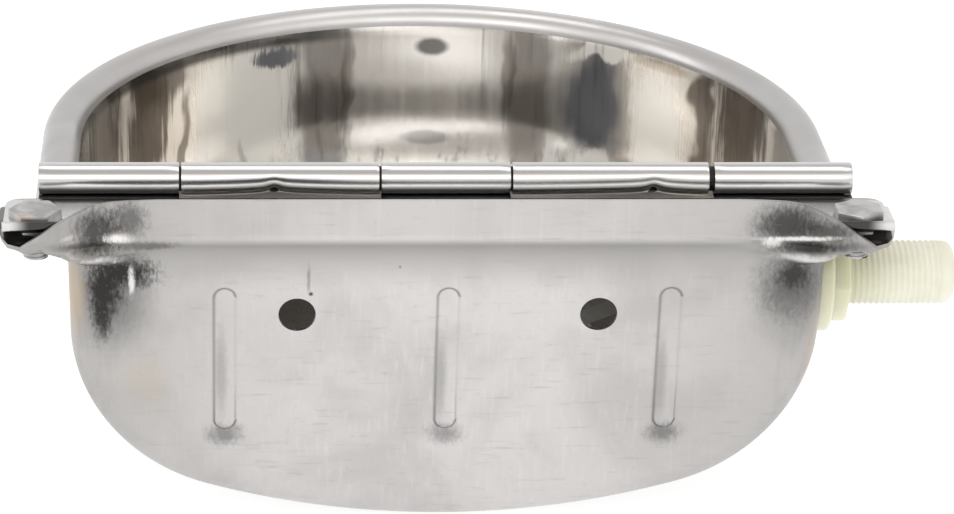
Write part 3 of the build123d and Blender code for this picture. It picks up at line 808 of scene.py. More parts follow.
def trim(bm, origin, axis, low, high):
    """Cut a mesh off square at both ends along an axis."""
    for place, direction in ((low, -axis), (high, axis)):
        bmesh.ops.bisect_plane(bm, geom=bm.verts[:] + bm.edges[:] + bm.faces[:],
                               dist=0.0005 * MM, plane_co=origin + axis * place,
                               plane_no=direction, clear_outer=True)


def upright_axis(node):
    """Foot of the upright axis through the middle of a node."""
    middle = centre_of(node)
    return Vector((middle.x, middle.y, 0))


def bolt_piece(sizes, node, turned):
    """Ear bolt with its thread, its bevelled tip and its chamfered head."""
    bm = bmesh.new()
    low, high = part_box(node)
    origin = upright_axis(node)
    seat = STRIP_LOW.z + SHEET
    pitch, radius = sizes.bolt_pitch, sizes.bolt_radius
    turns = (seat - low.z) / pitch + 2
    thread(bm, origin, UP, low.z - pitch, turns, pitch, radius, sizes.bolt_thread)
    trim(bm, origin, UP, low.z + sizes.tip_length + 0.05 * MM, seat)
    tip = bmesh.ops.holes_fill(bm, edges=[e for e in bm.edges if e.is_boundary], sides=0)
    tip_faces = [f for f in tip["faces"] if f.calc_center_median().z < low.z + MM]
    bmesh.ops.recalc_face_normals(bm, faces=bm.faces)
    bmesh.ops.inset_region(bm, faces=tip_faces, thickness=sizes.tip_bevel,
                           depth=sizes.tip_length)
    hex_block(bm, origin, UP, sizes.head_flats, seat, high.z, turned, sizes.chamfer, False)
    bmesh.ops.recalc_face_normals(bm, faces=bm.faces)
    return finished(node + "_threaded", bm, [fastener_steel()], "bowl", "bolt_steel", node,
                    rounding=0.12 * MM, sharp=20)


def nut_piece(sizes, node):
    """Chamfered nut under an ear."""
    bm = bmesh.new()
    low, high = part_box(node)
    hex_block(bm, upright_axis(node), UP, sizes.nut_flats, low.z, high.z, pi / 6,
              sizes.chamfer, True, bore=sizes.bolt_radius + BORE_PLAY)
    return finished(node + "_chamfered", bm, [fastener_steel()], "bowl", "bolt_steel", node,
                    sharp=20)


# ---------------------------------------------------------------- inlet and valve

def lock_nut_end():
    relief = 1.2 * MM
    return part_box("lock_nut")[1].x - relief


def inlet_piece(sizes):
    """Threaded inlet, flange and valve barrel in one moulding, with the clevis cheeks."""
    bm = bmesh.new()
    nut_end, end = lock_nut_end(), VALVE_HIGH.x
    pitch, bore, rounding = sizes.thread_pitch, sizes.bore, sizes.end_rounding
    crest = INLET_RADIUS
    root = crest - sizes.thread_depth
    plain_from = end - sizes.pilot
    turns = (plain_from - nut_end) / pitch + 3
    thread(bm, INLET_AXIS, ACROSS, nut_end - 1.5 * pitch, turns, pitch, crest,
           sizes.thread_depth, steps=60)
    trim(bm, INLET_AXIS, ACROSS, nut_end - 0.5 * MM, plain_from)
    face_away(bm)
    threaded = set(bm.faces)
    gasket_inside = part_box("wall_gasket")[0].x
    flange, flange_start = sizes.flange, gasket_inside - sizes.flange_depth
    barrel, barrel_end = sizes.barrel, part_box("plunger")[0].x + sizes.plunger_bare
    plain = crest - 0.15 * MM
    profile = [(barrel_end, bore), (barrel_end, barrel), (flange_start, barrel),
               (flange_start, flange), (gasket_inside, flange), (gasket_inside, crest),
               (nut_end - 0.4 * MM, crest), (nut_end - 0.2 * MM, root),
               (plain_from - 0.3 * MM, root), (plain_from, plain), (end - rounding, plain)]
    profile += arc((end - rounding, plain - rounding), rounding, 90, 12, 7)[1:]
    profile += [(end, bore + 1.2 * MM), (end - 1.0 * MM, bore), (barrel_end, bore)]
    lathe(bm, profile, INLET_AXIS, ACROSS, 96)
    clevis(bm, sizes, barrel_end)
    solid = [f for f in bm.faces if f not in threaded]
    bmesh.ops.recalc_face_normals(bm, faces=solid)
    return finished("inlet_moulding", bm, [ivory("threaded ivory", 0.0)], "bowl",
                    "ivory_nylon", "valve_body", rounding=0.2 * MM, sharp=50)


def clevis(bm, sizes, barrel_end):
    """Two cheeks that hold the lever's pin."""
    near_x, far_x = barrel_end + MM, VALVE_LOW.x
    low_z = centre_of("lever_pin").z - sizes.cheek_drop
    high_z = INLET_AXIS.z + sizes.cheek_rise
    for side in SIDES:
        y = INLET_AXIS.y + side * (sizes.cheek_gap + sizes.cheek / 2)
        made = bmesh.ops.create_cube(bm, size=1)["verts"]
        bmesh.ops.scale(bm, verts=made, vec=(near_x - far_x, sizes.cheek, high_z - low_z))
        bmesh.ops.translate(bm, verts=made,
                            vec=((far_x + near_x) / 2, y, (low_z + high_z) / 2))
        edges = [e for e in bm.edges if set(e.verts) <= set(made)]
        bmesh.ops.bevel(bm, geom=edges, offset=0.5 * MM, segments=2, profile=0.5,
                        affect="EDGES", material=-1, clamp_overlap=True)


def washer_piece():
    """Moulded washer between the wall and the lock nut."""
    bm = bmesh.new()
    low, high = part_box("outer_washer")
    outer = (high.z - low.z) / 2
    inner = INLET_RADIUS + 0.3 * MM
    chamfer, rounding = 0.4 * MM, 1.2 * MM
    profile = [(low.x, inner), (low.x, outer - chamfer), (low.x + chamfer, outer)]
    profile += arc((high.x - rounding, outer - rounding), rounding, 90, 0, 6)
    profile += [(high.x, inner), (low.x, inner)]
    lathe(bm, profile, INLET_AXIS, ACROSS, 96)
    bmesh.ops.recalc_face_normals(bm, faces=bm.faces)
    return finished("moulded_washer", bm, [ivory("ivory plastic", 0.8)], "bowl",
                    "ivory_nylon", "outer_washer")


def lock_nut_piece(sizes):
    """Moulded nut that clamps the inlet to the wall."""
    bm = bmesh.new()
    low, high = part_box("lock_nut")
    hex_block(bm, INLET_AXIS, ACROSS, high.z - low.z, low.x, lock_nut_end(), pi / 2,
              sizes.chamfer, False, bore=INLET_RADIUS + BORE_PLAY)
    return finished("moulded_lock_nut", bm, [ivory("ivory plastic", 0.8)], "bowl",
                    "ivory_nylon", "lock_nut", rounding=0.25 * MM, sharp=20)


# ---------------------------------------------------------------- shader helpers

def shade(rgb, factor):
    return [min(factor * c, 1) for c in rgb]


class Nodes:
    """Writes a node tree.  What goes into a node is a plain value or another one's socket."""

    def __init__(self, tree):
        self.tree = tree

    def put(self, value, socket):
        """Link a socket in or set a value, where a colour is given as three numbers."""
        if isinstance(value, bpy.types.NodeSocket):
            self.tree.links.new(value, socket)
        elif socket.type == "RGBA":
            socket.default_value = (*value, 1)
        else:
            socket.default_value = value

    def add(self, kind, inputs=None, **settings):
        """Add a node with its settings and its inputs, and give its outputs."""
        made = self.tree.nodes.new("ShaderNode" + kind)
        for key, value in settings.items():
            setattr(made, key, value)
        for key, value in (inputs or {}).items():
            self.put(value, made.inputs[key])
        return made.outputs

    def maths(self, operation, a, b=0.0):
        return self.add("Math", {0: a, 1: b}, operation=operation)[0]

    def times(self, first, *others):
        for other in others:
            first = self.maths("MULTIPLY", first, other)
        return first

    def vector_maths(self, operation, a, b):
        return self.add("VectorMath", {0: a, 1: b}, operation=operation)[0]

    def noise(self, vector, scale, detail=3.0, rough=0.5, warp=0.0, output="Fac"):
        return self.add("TexNoise", {"Vector": vector, "Scale": scale, "Detail": detail,
                                     "Roughness": rough, "Distortion": warp})[output]

    def ramp(self, value, low, high, to_low=0.0, to_high=1.0):
        """Smooth step from one range of values to another."""
        return self.add("MapRange", {"Value": value, "From Min": low, "From Max": high,
                                     "To Min": to_low, "To Max": to_high},
                        interpolation_type="SMOOTHSTEP")[0]

    def layers(self, base, *over):
        """Lay colours over a base, each given with its mask."""
        for mask, rgb in over:
            base = self.add("Mix", {0: mask, 6: base, 7: rgb}, data_type="RGBA")[2]
        return base

    def stretched_noise(self, vector, stretch, detail=3.0, rough=0.6):
        return self.noise(self.stretch(vector, stretch), 1.0, detail, rough)

    def stretch(self, vector, scale):
        return self.add("Mapping", {"Vector": vector, "Scale": scale})[0]


def new_group(name, inputs, outputs):
    """Node group with named inputs and their defaults, and the named values it puts out."""
    tree = bpy.data.node_groups.new(name, "ShaderNodeTree")
    for label, default in inputs.items():
        kind = "NodeSocketFloat" if isinstance(default, float) else "NodeSocketVector"
        socket = tree.interface.new_socket(label, in_out="INPUT", socket_type=kind)
        socket.default_value = default
    for label in outputs:
        tree.interface.new_socket(label, in_out="OUTPUT", socket_type="NodeSocketFloat")
    given = tree.nodes.new("NodeGroupInput").outputs
    return Nodes(tree), given, tree.nodes.new("NodeGroupOutput").inputs


NOWHERE = (0.0, 0.0, 0.0)


@cache
def worked_surface():
    """Fine drawn lines, cloudy smudges and dust of a worked metal or plastic surface."""
    n, given, out = new_group("Worked surface", {
        "Vector": NOWHERE, "Line stretch": (900.0, 900.0, 40.0), "Cloud size": 22.0,
        "Speck size": 900.0}, ("Lines", "Clouds", "Specks"))
    vector = given["Vector"]
    drawn = n.vector_maths("MULTIPLY", vector, given["Line stretch"])
    specks = n.noise(vector, given["Speck size"], 1.0, 0.4)
    n.put(n.noise(drawn, 1.0, 3.0, 0.6), out["Lines"])
    n.put(n.noise(vector, given["Cloud size"], 4.0, 0.55, 0.6), out["Clouds"])
    n.put(n.ramp(specks, 0.66, 0.74), out["Specks"])
    return n.tree


@cache
def local_patch():
    """Soft patch round a centre, broken up by noise."""
    n, given, out = new_group("Local patch", {
        "Vector": NOWHERE, "Grain vector": NOWHERE, "Centre": NOWHERE,
        "Size": (0.01, 0.01, 0.01), "Break-up": 0.5}, ("Mask",))
    away = n.vector_maths("SUBTRACT", given["Vector"], given["Centre"])
    away = n.vector_maths("DIVIDE", away, given["Size"])
    far = n.add("VectorMath", {0: away}, operation="LENGTH")["Value"]
    rough = n.noise(given["Grain vector"], 700.0, 5.0, 0.72, 0.3)
    rough = n.times(n.maths("SUBTRACT", rough, 0.5), n.times(given["Break-up"], 4.0))
    n.put(n.ramp(n.maths("ADD", far, rough), 1.25, 0.25), out["Mask"])
    return n.tree


class Finish(Nodes):
    """Writes a material, whose constants are set on the shader's own sockets."""

    def __init__(self, name, **constants):
        self.material = bpy.data.materials.new(name)
        self.material.use_nodes = True
        super().__init__(self.material.node_tree)
        self.shader = next(n for n in self.tree.nodes if n.type == "BSDF_PRINCIPLED")
        for key, value in constants.items():
            self.shader.inputs[key.replace("_", " ")].default_value = value
        self.vector = self.add("TexCoord")["Object"]

    def place(self):
        """The place on the piece as x, y and z, in metres."""
        return self.add("SeparateXYZ", {0: self.vector})

    def grain(self, line_stretch, cloud_size, speck_size):
        return self.add("Group", {
            "Vector": self.vector, "Line stretch": line_stretch, "Cloud size": cloud_size,
            "Speck size": speck_size}, node_tree=worked_surface())

    def patch(self, vector, grain, centre, size, breakup):
        """Mask of a patch, with its centre and its size in millimetres."""
        return self.add("Group", {
            "Vector": vector, "Grain vector": grain, "Centre": [c * MM for c in centre],
            "Size": [c * MM for c in size], "Break-up": breakup},
            node_tree=local_patch())["Mask"]

    def spot(self, strength, *where):
        return self.times(self.patch(self.vector, self.vector, *where), strength)

    def marks(self, base, marks, tones, vector, grain, watched=None, drawn=False):
        """Lay marks over a base.  Gives the colour and the mask of the watched kind."""
        seen = 0.0
        for kind, strength, *where in marks:
            mask = self.patch(vector, grain, *where)
            if drawn:
                mask = self.ramp(mask, 0.08, 0.80)
            mask = self.times(mask, strength)
            base = self.layers(base, (mask, tones[kind]))
            if kind == watched:
                seen = self.maths("MAXIMUM", mask, seen)
            elif watched and drawn:
                seen = self.times(seen, self.maths("SUBTRACT", 1.0, mask))
        return base, seen

    def finish(self, base, rough, height, strength, distance):
        """Wire up the shader, with its relief, and give the material."""
        normal = self.add("Bump", {"Height": height, "Strength": strength,
                                   "Distance": distance})[0]
        for name, value in (("Base Color", base), ("Roughness", rough), ("Normal", normal)):
            self.put(value, self.shader.inputs[name])
        return self.material

    def plain_finish(self, grain, base, rough, strength, distance):
        """Finish whose roughness and relief follow the smudges."""
        clouds = grain["Clouds"]
        return self.finish(base, self.ramp(clouds, 0.3, 0.7, *rough), clouds, strength,
                           distance)


def finish_colours():
    return bpy.context.scene.drinker_finish


# ---------------------------------------------------------------- materials

# Marks are given as their kind, strength, centre and size in millimetres, and break-up.
# Outside, the upper corners are scuffed where the sheet was drawn round them, the wings have
# dark patches on their upper faces, and there are stains and scratches from use.  Painted
# light lies over them: the dull marks are painted shade on the wings, under them and inside
# the ribs, thin dark lines along the wings are painted shade in their hollow, the scuffs just
# below the ribs are painted shadow under the rib ends, and the bright marks are painted
# highlights on the wings' ridges and rolls, but for one scratch in the left scuff.
MARKS = [
    # Painted shade: the wings' upper faces, the back corners under the wings, and inside the ribs.
    ("dull", 0.70, (113.0, -7, 31.0), (22.0, 10, 12.0), 0.08),
    ("dull", 0.40, (-113.0, -7, 31.0), (20.0, 10, 12.0), 0.08),
    ("dull", 0.70, (112.0, -2, 8.0), (16.0, 18, 24.0), 0.08),
    ("dull", 0.55, (-108.0, -2, 6.0), (15.0, 18, 24.0), 0.08),
    ("dull", 0.50, (-72.4, 3, -21.0), (2.4, 9, 19.0), 0.20),
    ("dull", 0.50, (-2.0, 3, -23.0), (2.4, 9, 18.0), 0.20),
    ("dull", 0.50, (69.2, 3, -23.0), (2.4, 9, 18.0), 0.20),
    ("scuff", 1.00, (-103.0, -3, 15.2), (12.0, 16, 7.0), 0.46),
    ("scuff", 1.00, (-109.0, -2, 9.5), (6.6, 16, 11.0), 0.42),
    ("scuff", 0.95, (-110.0, 0, 0.5), (3.8, 16, 10.0), 0.36),
    ("scuff", 0.40, (-106.5, -2, 8.0), (13.0, 18, 20.0), 0.10),
    ("scuff", 0.55, (110.0, -2, 11.0), (13.0, 16, 15.0), 0.26),
    ("scuff", 0.85, (110.0, -2, 14.0), (6.0, 16, 6.0), 0.46),
    # On the wings: dark patches on the upper faces, and thin dark lines that are painted shade in the hollow below
    # the ridge.
    ("scuff", 0.88, (106.5, -7, 33.5), (12.5, 8, 8.5), 0.30),
    ("scuff", 0.72, (119.0, -7, 30.6), (11.0, 8, 4.6), 0.34),
    ("scuff", 0.92, (113.5, -8, 25.6), (13.5, 9, 2.3), 0.24),
    ("scuff", 0.45, (126.0, -8, 25.6), (8.0, 9, 2.0), 0.24),
    ("scuff", 0.86, (-111.0, -7, 31.0), (8.0, 8, 9.5), 0.40),
    ("scuff", 0.62, (-101.5, -7, 35.5), (7.0, 8, 7.0), 0.42),
    ("scuff", 0.55, (-96.0, -7, 26.2), (12.0, 8, 2.0), 0.34),
    ("scuff", 0.50, (-116.0, -8, 25.8), (11.0, 9, 1.9), 0.26),
    # Painted highlights on the wings' ridges and rolls; the last one is a bright scratch.
    ("bright", 0.95, (-104.5, -7, 29.2), (5.2, 7, 1.9), 0.55),
    ("bright", 0.80, (101.8, -7, 27.6), (3.6, 7, 2.2), 0.60),
    ("bright", 0.85, (110.0, -7, 28.9), (15.0, 7, 0.9), 0.40),
    ("bright", 0.85, (-110.0, -6, 20.8), (8.0, 8, 2.2), 0.50),
    ("bright", 0.75, (113.0, -6, 21.6), (13.0, 8, 2.4), 0.35),
    ("bright", 0.90, (-100.6, -3, 12.6), (1.2, 16, 6.0), 0.55),
    ("stain", 0.75, (-119.0, 6, 8.0), (4.5, 14, 17.0), 0.40),
    ("stain", 0.35, (119.5, 6, -20.0), (4.5, 14, 24.0), 0.34),
    ("stain", 0.30, (-96.0, 0, -24.0), (9.0, 14, 12.0), 0.40),
    # Painted shadow under the bottom ends of the ribs.
    ("scuff", 0.55, (-71.2, 4, -44.5), (7.0, 9, 4.8), 0.32),
    ("scuff", 0.50, (0.0, 4, -44.5), (7.0, 9, 4.8), 0.32),
    ("scuff", 0.55, (71.2, 4, -44.5), (7.0, 9, 4.8), 0.32),
    # Small dark specks by the left hole and on the band.
    ("scuff", 0.95, (-43.9, 0, 7.6), (0.9, 8, 0.9), 0.20),
    ("scuff", 0.70, (-15.8, 2, 17.4), (0.7, 8, 0.7), 0.20),
    ("scuff", 0.40, (-44.6, 0, 13.0), (0.7, 8, 6.5), 0.40),
]


@cache
def satin_steel():
    """Outside of the bowl: satin sheet with drawn lines, smudges, scuffs and pits, with painted shade and
    highlights.
    """
    tone = finish_colours()
    dark = tone.steel_dark
    m = Finish("satin steel", Metallic=1.0)
    lines, clouds, specks = m.grain((620.0, 620.0, 26.0), 26.0, 520.0)
    x, y, z = m.place()
    off_middle = m.maths("ABSOLUTE", x)
    across = m.stretched_noise(m.vector, (70.0, 70.0, 640.0))
    streaks = m.stretched_noise(m.vector, (330.0, 330.0, 14.0))
    # Painted shade in upright streaks along the back corners and the rear of the sides.
    side_edge_shade = m.times(m.ramp(off_middle, 0.102, 0.117),
                        m.ramp(streaks, 0.40, 0.66, 0.1, 0.8), m.ramp(y, 0.036, 0.024))
    # Painted shade under the band's overhang, where the panel sweeps out to the band.
    band_underside_shade = m.times(m.ramp(z, 0.0070, 0.0262), m.ramp(z, 0.0296, 0.0266),
                        m.ramp(y, 0.004, 0.001))
    # Painted shade over everything above the band's overhang: upper band, wings and ears.
    band = m.ramp(z, 0.0280, 0.0310, 0, 0.28)
    # Painted shade along the rib outlines, from the attribute that press_ribs writes.
    crease = m.times(m.add("Attribute", attribute_name="crease")["Fac"], 0.62)
    base = m.layers(
        tone.steel, (m.ramp(clouds, 0.40, 0.74), shade(tone.steel, 0.84)),
        (m.ramp(lines, 0.5, 0.8, 0, 0.3), shade(tone.steel, 1.2)),
        (m.ramp(across, 0.56, 0.78, 0, 0.46), dark),
        # Painted shade growing towards the sides.
        (m.ramp(off_middle, 0.030, 0.118, 0, 0.62), dark),
        (side_edge_shade, dark), (band_underside_shade, dark), (band, dark), (crease, tone.scuff))
    # The dull tone paints shade and the bright tone paints highlights.
    tones = {"scuff": tone.scuff, "stain": tone.stain, "dull": shade(dark, 0.7),
             "bright": shade(tone.steel, 1.35)}
    rubbed = m.stretch(m.vector, (1.2, 0.6, 0.55))
    base, scuffed = m.marks(base, MARKS, tones, m.vector, rubbed, "scuff")
    base = m.layers(base, (m.times(specks, 0.12), dark))
    rough = m.maths("ADD", m.ramp(clouds, 0.3, 0.75, 0.34, 0.48), m.times(scuffed, 0.15))
    dents = m.noise(m.vector, 34.0, 2.0)
    height = m.maths("ADD", m.times(lines, 0.05), m.times(dents, 0.35))
    height = m.maths("SUBTRACT", height, m.times(specks, 0.12))
    return m.finish(base, rough, height, 0.25, 0.0012)


@cache
def rim_steel():
    """Rolled rim: even satin, with painted shade towards the sides."""
    tone = finish_colours()
    m = Finish("rim steel", Metallic=1.0)
    grain = m.grain((300.0, 300.0, 300.0), 30.0, 700.0)
    off_middle = m.maths("ABSOLUTE", m.place()["X"])
    base = m.layers(tone.rim, (m.ramp(grain["Clouds"], 0.35, 0.7), shade(tone.rim, 0.92)),
                    (m.ramp(off_middle, 0.045, 0.115, 0, 0.55), tone.steel_dark))
    return m.plain_finish(grain, base, (0.30, 0.40), 0.2, 0.0006)


# Inside, painted reflections of the polished wall, laid on as upright streaks, and a dark band along the bottom's
# front corner.
INSIDE_PAINTED_REFLECTIONS = [
    ("bright", 0.98, (-65.0, 198, -8.0), (27.0, 34, 44.0), 0.20),
    ("dark", 0.80, (-94.0, 172, 16.0), (17.0, 18, 12.0), 0.30),
    ("dark", 0.75, (-86.5, 180, -14.0), (2.6, 12, 26.0), 0.20),
    ("dark", 0.30, (-66.0, 196, -26.0), (3.0, 12, 14.0), 0.30),
    ("dark", 0.62, (-33.5, 212, 0.0), (11.0, 16, 60.0), 0.16),
    ("dark", 0.50, (-25.5, 214, 2.0), (3.2, 12, 32.0), 0.16),
    ("cool", 0.85, (-53.0, 205, 15.0), (11.0, 14, 5.5), 0.60),
    ("dark", 0.60, (42.5, 209, 0.0), (9.5, 16, 60.0), 0.14),
    ("dark", 0.55, (35.0, 211, 8.0), (3.4, 12, 22.0), 0.16),
    ("cool", 0.88, (65.0, 199, -2.0), (14.0, 20, 25.0), 0.14),
    ("bright", 0.90, (68.0, 197, 18.5), (20.0, 20, 5.0), 0.24),
    ("bright", 0.98, (87.5, 180, -8.0), (12.5, 24, 40.0), 0.18),
    ("bright", 0.75, (66.0, 196, -24.0), (15.0, 18, 6.0), 0.20),
    ("dark", 0.85, (99.5, 164, 0.0), (3.0, 14, 50.0), 0.12),
    ("dark", 0.90, (112.0, 143, 0.0), (12.0, 34, 60.0), 0.50),
    ("dark", 0.92, (-99.0, 168, 0.0), (8.5, 20, 60.0), 0.42),
    ("dark", 0.92, (-115.0, 138, 0.0), (11.5, 32, 60.0), 0.42),
    ("cool", 0.40, (-33.0, 210, -25.0), (9.0, 12, 6.0), 0.20),
    ("dark", 0.90, (9.0, 170, -66.0), (44.0, 22, 12.0), 0.20),
]
# Inside, spots that keep their plain outline: a stain by the rim on the right, two black ovals on the front wall,
# and dark patches on the bottom towards the front.
INSIDE_SPOTS = [
    ("stain", 0.55, (88.0, 180, 21.0), (16.0, 16, 2.6), 0.20),
    ("black", 0.84, (6.0, 217, 15.8), (7.4, 8, 4.2), 0.05),
    ("black", 0.40, (4.0, 216, -19.5), (11.0, 8, 3.2), 0.10),
    ("dark", 0.93, (-40.0, 160, -66.0), (36.0, 30, 15.0), 0.20),
    ("dark", 0.93, (57.0, 153, -64.0), (34.0, 30, 15.0), 0.20),
    ("black", 0.85, (-40.0, 157, -66.0), (26.0, 26, 14.0), 0.20),
    ("black", 0.85, (57.0, 150, -64.0), (24.0, 26, 14.0), 0.20),
]


@cache
def mirror_steel():
    """Inside of the bowl: polish with painted reflections as upright streaks, duller on the bottom."""
    tone = finish_colours()
    m = Finish("polished inside")
    grain = m.grain((260.0, 260.0, 9.0), 14.0, 500.0)
    lines = grain["Lines"]
    x, y, z = m.place()
    off_middle = m.maths("ABSOLUTE", x)
    wall = m.ramp(z, -0.052, -0.034)
    base = m.layers(
        tone.inside, (m.ramp(grain["Clouds"], 0.42, 0.70, 0, 0.5), shade(tone.inside, 0.8)),
        (m.times(wall, m.ramp(lines, 0.48, 0.78, 0, 0.35)), tone.inside_bright))
    tones = {"bright": tone.inside_bright, "dark": tone.inside_dark,
             "cool": tone.inside_cool, "black": tone.scuff, "stain": tone.stain}
    drawn = m.stretch(m.vector, (0.55, 0.55, 0.035))
    wander = m.noise(m.vector, 42.0, 2.0, output="Color")
    wander = m.vector_maths("SUBTRACT", wander, (0.5, 0.5, 0.5))
    wander = m.vector_maths("MULTIPLY", wander, (0.016, 0.016, 0.030))
    wander = m.vector_maths("ADD", m.vector, wander)
    base, lit = m.marks(base, INSIDE_PAINTED_REFLECTIONS, tones, wander, drawn, "bright", drawn=True)
    base = m.marks(base, INSIDE_SPOTS, tones, m.vector, drawn, drawn=True)[0]
    # Painted shade along the foot of the rim on the left, and over the inner face of the band there.
    fold = m.times(m.ramp(z, 0.0180, 0.0212), m.ramp(x, -0.012, -0.045, 0, 0.85))
    # Painted shadow under the hinge strip at the ears.
    under_strip_shadow = m.times(m.ramp(off_middle, 0.1215, 0.1225),
                          m.ramp(off_middle, 0.1410, 0.1404),
                          m.ramp(y, 0.012, 0.009, 0, 0.96))
    base = m.layers(base, (fold, tone.scuff),
                    (m.times(wall, m.ramp(lines, 0.42, 0.30, 0, 0.35)), tone.inside_dark),
                    (under_strip_shadow, tone.scuff))
    # Where the painted reflections are bright, the steel is less metallic, so it catches more light.
    m.put(m.ramp(lit, 0, 1, 0.80, 0.30), m.shader.inputs["Metallic"])
    rough = m.maths("ADD", m.ramp(lines, 0.3, 0.8, 0.10, 0.18),
                    m.ramp(z, -0.020, -0.045, 0, 0.16))
    height = m.maths("ADD", m.noise(m.vector, 18.0, 1.0), m.times(lines, 0.05))
    return m.finish(base, rough, height, 0.35, 0.002)


@cache
def hinge_steel(name, painted_crevice_shade):
    """Polished sheet with lines along the barrel, and painted shade in the strip's crevice and on its lip."""
    tone = finish_colours()
    m = Finish(name, Metallic=1.0)
    lines = m.grain((14.0, 900.0, 900.0), 40.0, 420.0)["Lines"]
    base = m.layers(tone.polish, (m.ramp(lines, 0.35, 0.75, 0, 0.6), shade(tone.polish, 0.82)))
    if painted_crevice_shade:
        x, y, z = m.place()
        # Painted shade in the crevice under the barrel and on the strip's turned-up lip.
        crevice = m.times(m.ramp(y, 0.0208, 0.0222), m.ramp(y, 0.0268, 0.0260),
                          m.ramp(z, 0.0318, 0.0314))
        lip = m.ramp(y, -0.0020, -0.0032)
        short_of_ends = m.ramp(m.maths("ABSOLUTE", x), 0.139, 0.132, 0, 0.97)
        base = m.layers(base, (m.times(m.maths("MAXIMUM", crevice, lip), short_of_ends),
                               tone.scuff))
    return m.finish(base, m.ramp(lines, 0.3, 0.8, 0.20, 0.29), lines, 0.03, 0.0003)


@cache
def fastener_steel():
    """Bolts, nuts and pins: plain steel, with a stain on the left bolt and wear on the right."""
    tone = finish_colours()
    m = Finish("fastener steel", Metallic=1.0)
    grain = m.grain((400.0, 400.0, 400.0), 150.0, 1400.0)
    stained = m.spot(0.7, (-134.5, -2.5, 33.5), (3.5, 4.0, 1.8), 0.4)
    worn = m.spot(0.9, (136.5, -1.5, 32.0), (5.5, 4.5, 2.8), 0.06)
    base = m.layers(shade(tone.rim, 0.85),
                    (m.ramp(grain["Clouds"], 0.35, 0.7), shade(tone.rim, 0.6)),
                    (stained, tone.stain), (worn, tone.scuff))
    return m.plain_finish(grain, base, (0.32, 0.48), 0.2, 0.0003)


@cache
def ivory(name, see_through):
    """Ivory moulding with a deeper tone in the shade of the ear."""
    tone = finish_colours()
    m = Finish(name, Subsurface_Weight=see_through, Subsurface_Scale=0.006,
               Subsurface_Radius=(1.0, 0.9, 0.5), Specular_IOR_Level=0.4)
    grain = m.grain((300.0, 300.0, 300.0), 60.0, 1500.0)
    # Painted shade where the ear shades the inlet.
    ear_shade = m.spot(0.85, (130, 16, 9), (19, 30, 22), 0.05)
    base = m.layers(tone.ivory, (m.ramp(grain["Clouds"], 0.35, 0.75, 0, 0.3), tone.ivory_deep),
                    (ear_shade, tone.ivory_deep))
    return m.plain_finish(grain, base, (0.34, 0.46), 0.15, 0.0004)


@cache
def plain_piece(name, tone, rough, metallic=0.0):
    """Small hidden pieces: one tone with light mottling and handling marks."""
    rgb = getattr(finish_colours(), tone)
    m = Finish(name, Metallic=metallic)
    grain = m.grain((300.0, 300.0, 300.0), 90.0, 1300.0)
    base = m.layers(rgb, (m.ramp(grain["Clouds"], 0.35, 0.7), shade(rgb, 0.82)))
    return m.plain_finish(grain, base, (rough, rough + 0.12), 0.15, 0.0003)


# Pieces that keep their CAD mesh: the material, what it is called with, and the pieces.
CAD_FINISHES = (
    # The hinge pin takes the near-black scuff tone as painted shade in the gaps between knuckles.
    (plain_piece, ("dull steel", "scuff", 0.45, 1.0), ("hinge_pin",)),
    (plain_piece, ("black rubber", "rubber", 0.7), ("wall_gasket", "plunger_seal")),
    (plain_piece, ("turned brass", "brass", 0.28, 1.0), ("seat_nozzle",)),
    (plain_piece, ("white plastic", "white_plastic", 0.36),
     ("plunger", "float_lever", "float_upper_shell", "float_lower_shell")),
    (fastener_steel, (), ("lever_pin", "split_pin", "float_stud", "float_nut")),
)


# ---------------------------------------------------------------- stage

def aim_camera(settings):
    """Camera at the viewing angle, with its roll and shift."""
    azimuth, elevation, roll = settings.azimuth, settings.elevation, settings.roll
    ahead = Vector((-sin(azimuth) * cos(elevation), cos(azimuth) * cos(elevation),
                    -sin(elevation)))
    level = ahead.cross(UP).normalized()
    upright = level.cross(ahead)
    right = level * cos(roll) + upright * sin(roll)
    up = upright * cos(roll) - level * sin(roll)
    place = Matrix.Translation(Vector(settings.aim) - ahead * settings.distance)
    turned = Matrix((right, up, -ahead)).transposed().to_4x4()
    camera = bpy.data.objects.new("camera", bpy.data.cameras.new("camera"))
    camera.matrix_world = place @ turned
    camera.data.lens = settings.focal * camera.data.sensor_width
    camera.data.shift_x, camera.data.shift_y = settings.shift
    camera.data.clip_start = 0.05
    bpy.context.scene.collection.objects.link(camera)
    bpy.context.scene.camera = camera


# Soft lights: name, place, aim, size across and along, and power in watts.
LIGHTS = (
    ("overhead", (0.1, 0.3, 1.6), (0, 0.08, 0), (1.8, 0.7), 5.5),
    ("behind camera", (-0.3, -2.0, 1.25), (0, 0, 0), (2.6, 0.5), 5),
    ("left side", (-1.6, 0.2, 0.7), (0, 0.1, 0), (0.4, 1.0), 2.5),
)
# Tones of the surround, which the steel reflects.
LOW_WALL, HIGH_WALL = (0.96, 0.95, 0.94), (0.60, 0.575, 0.55)
WINDOW = (1.55, 1.50, 1.42)


def soft_light(name, place, aim, size, power):
    light = bpy.data.lights.new(name, "AREA")
    light.shape = "RECTANGLE"
    light.size, light.size_y = size
    light.energy = power
    lamp = bpy.data.objects.new(name, light)
    lamp.location = place
    lamp.rotation_euler = (Vector(aim) - Vector(place)).to_track_quat("-Z", "Y").to_euler()
    bpy.context.scene.collection.objects.link(lamp)


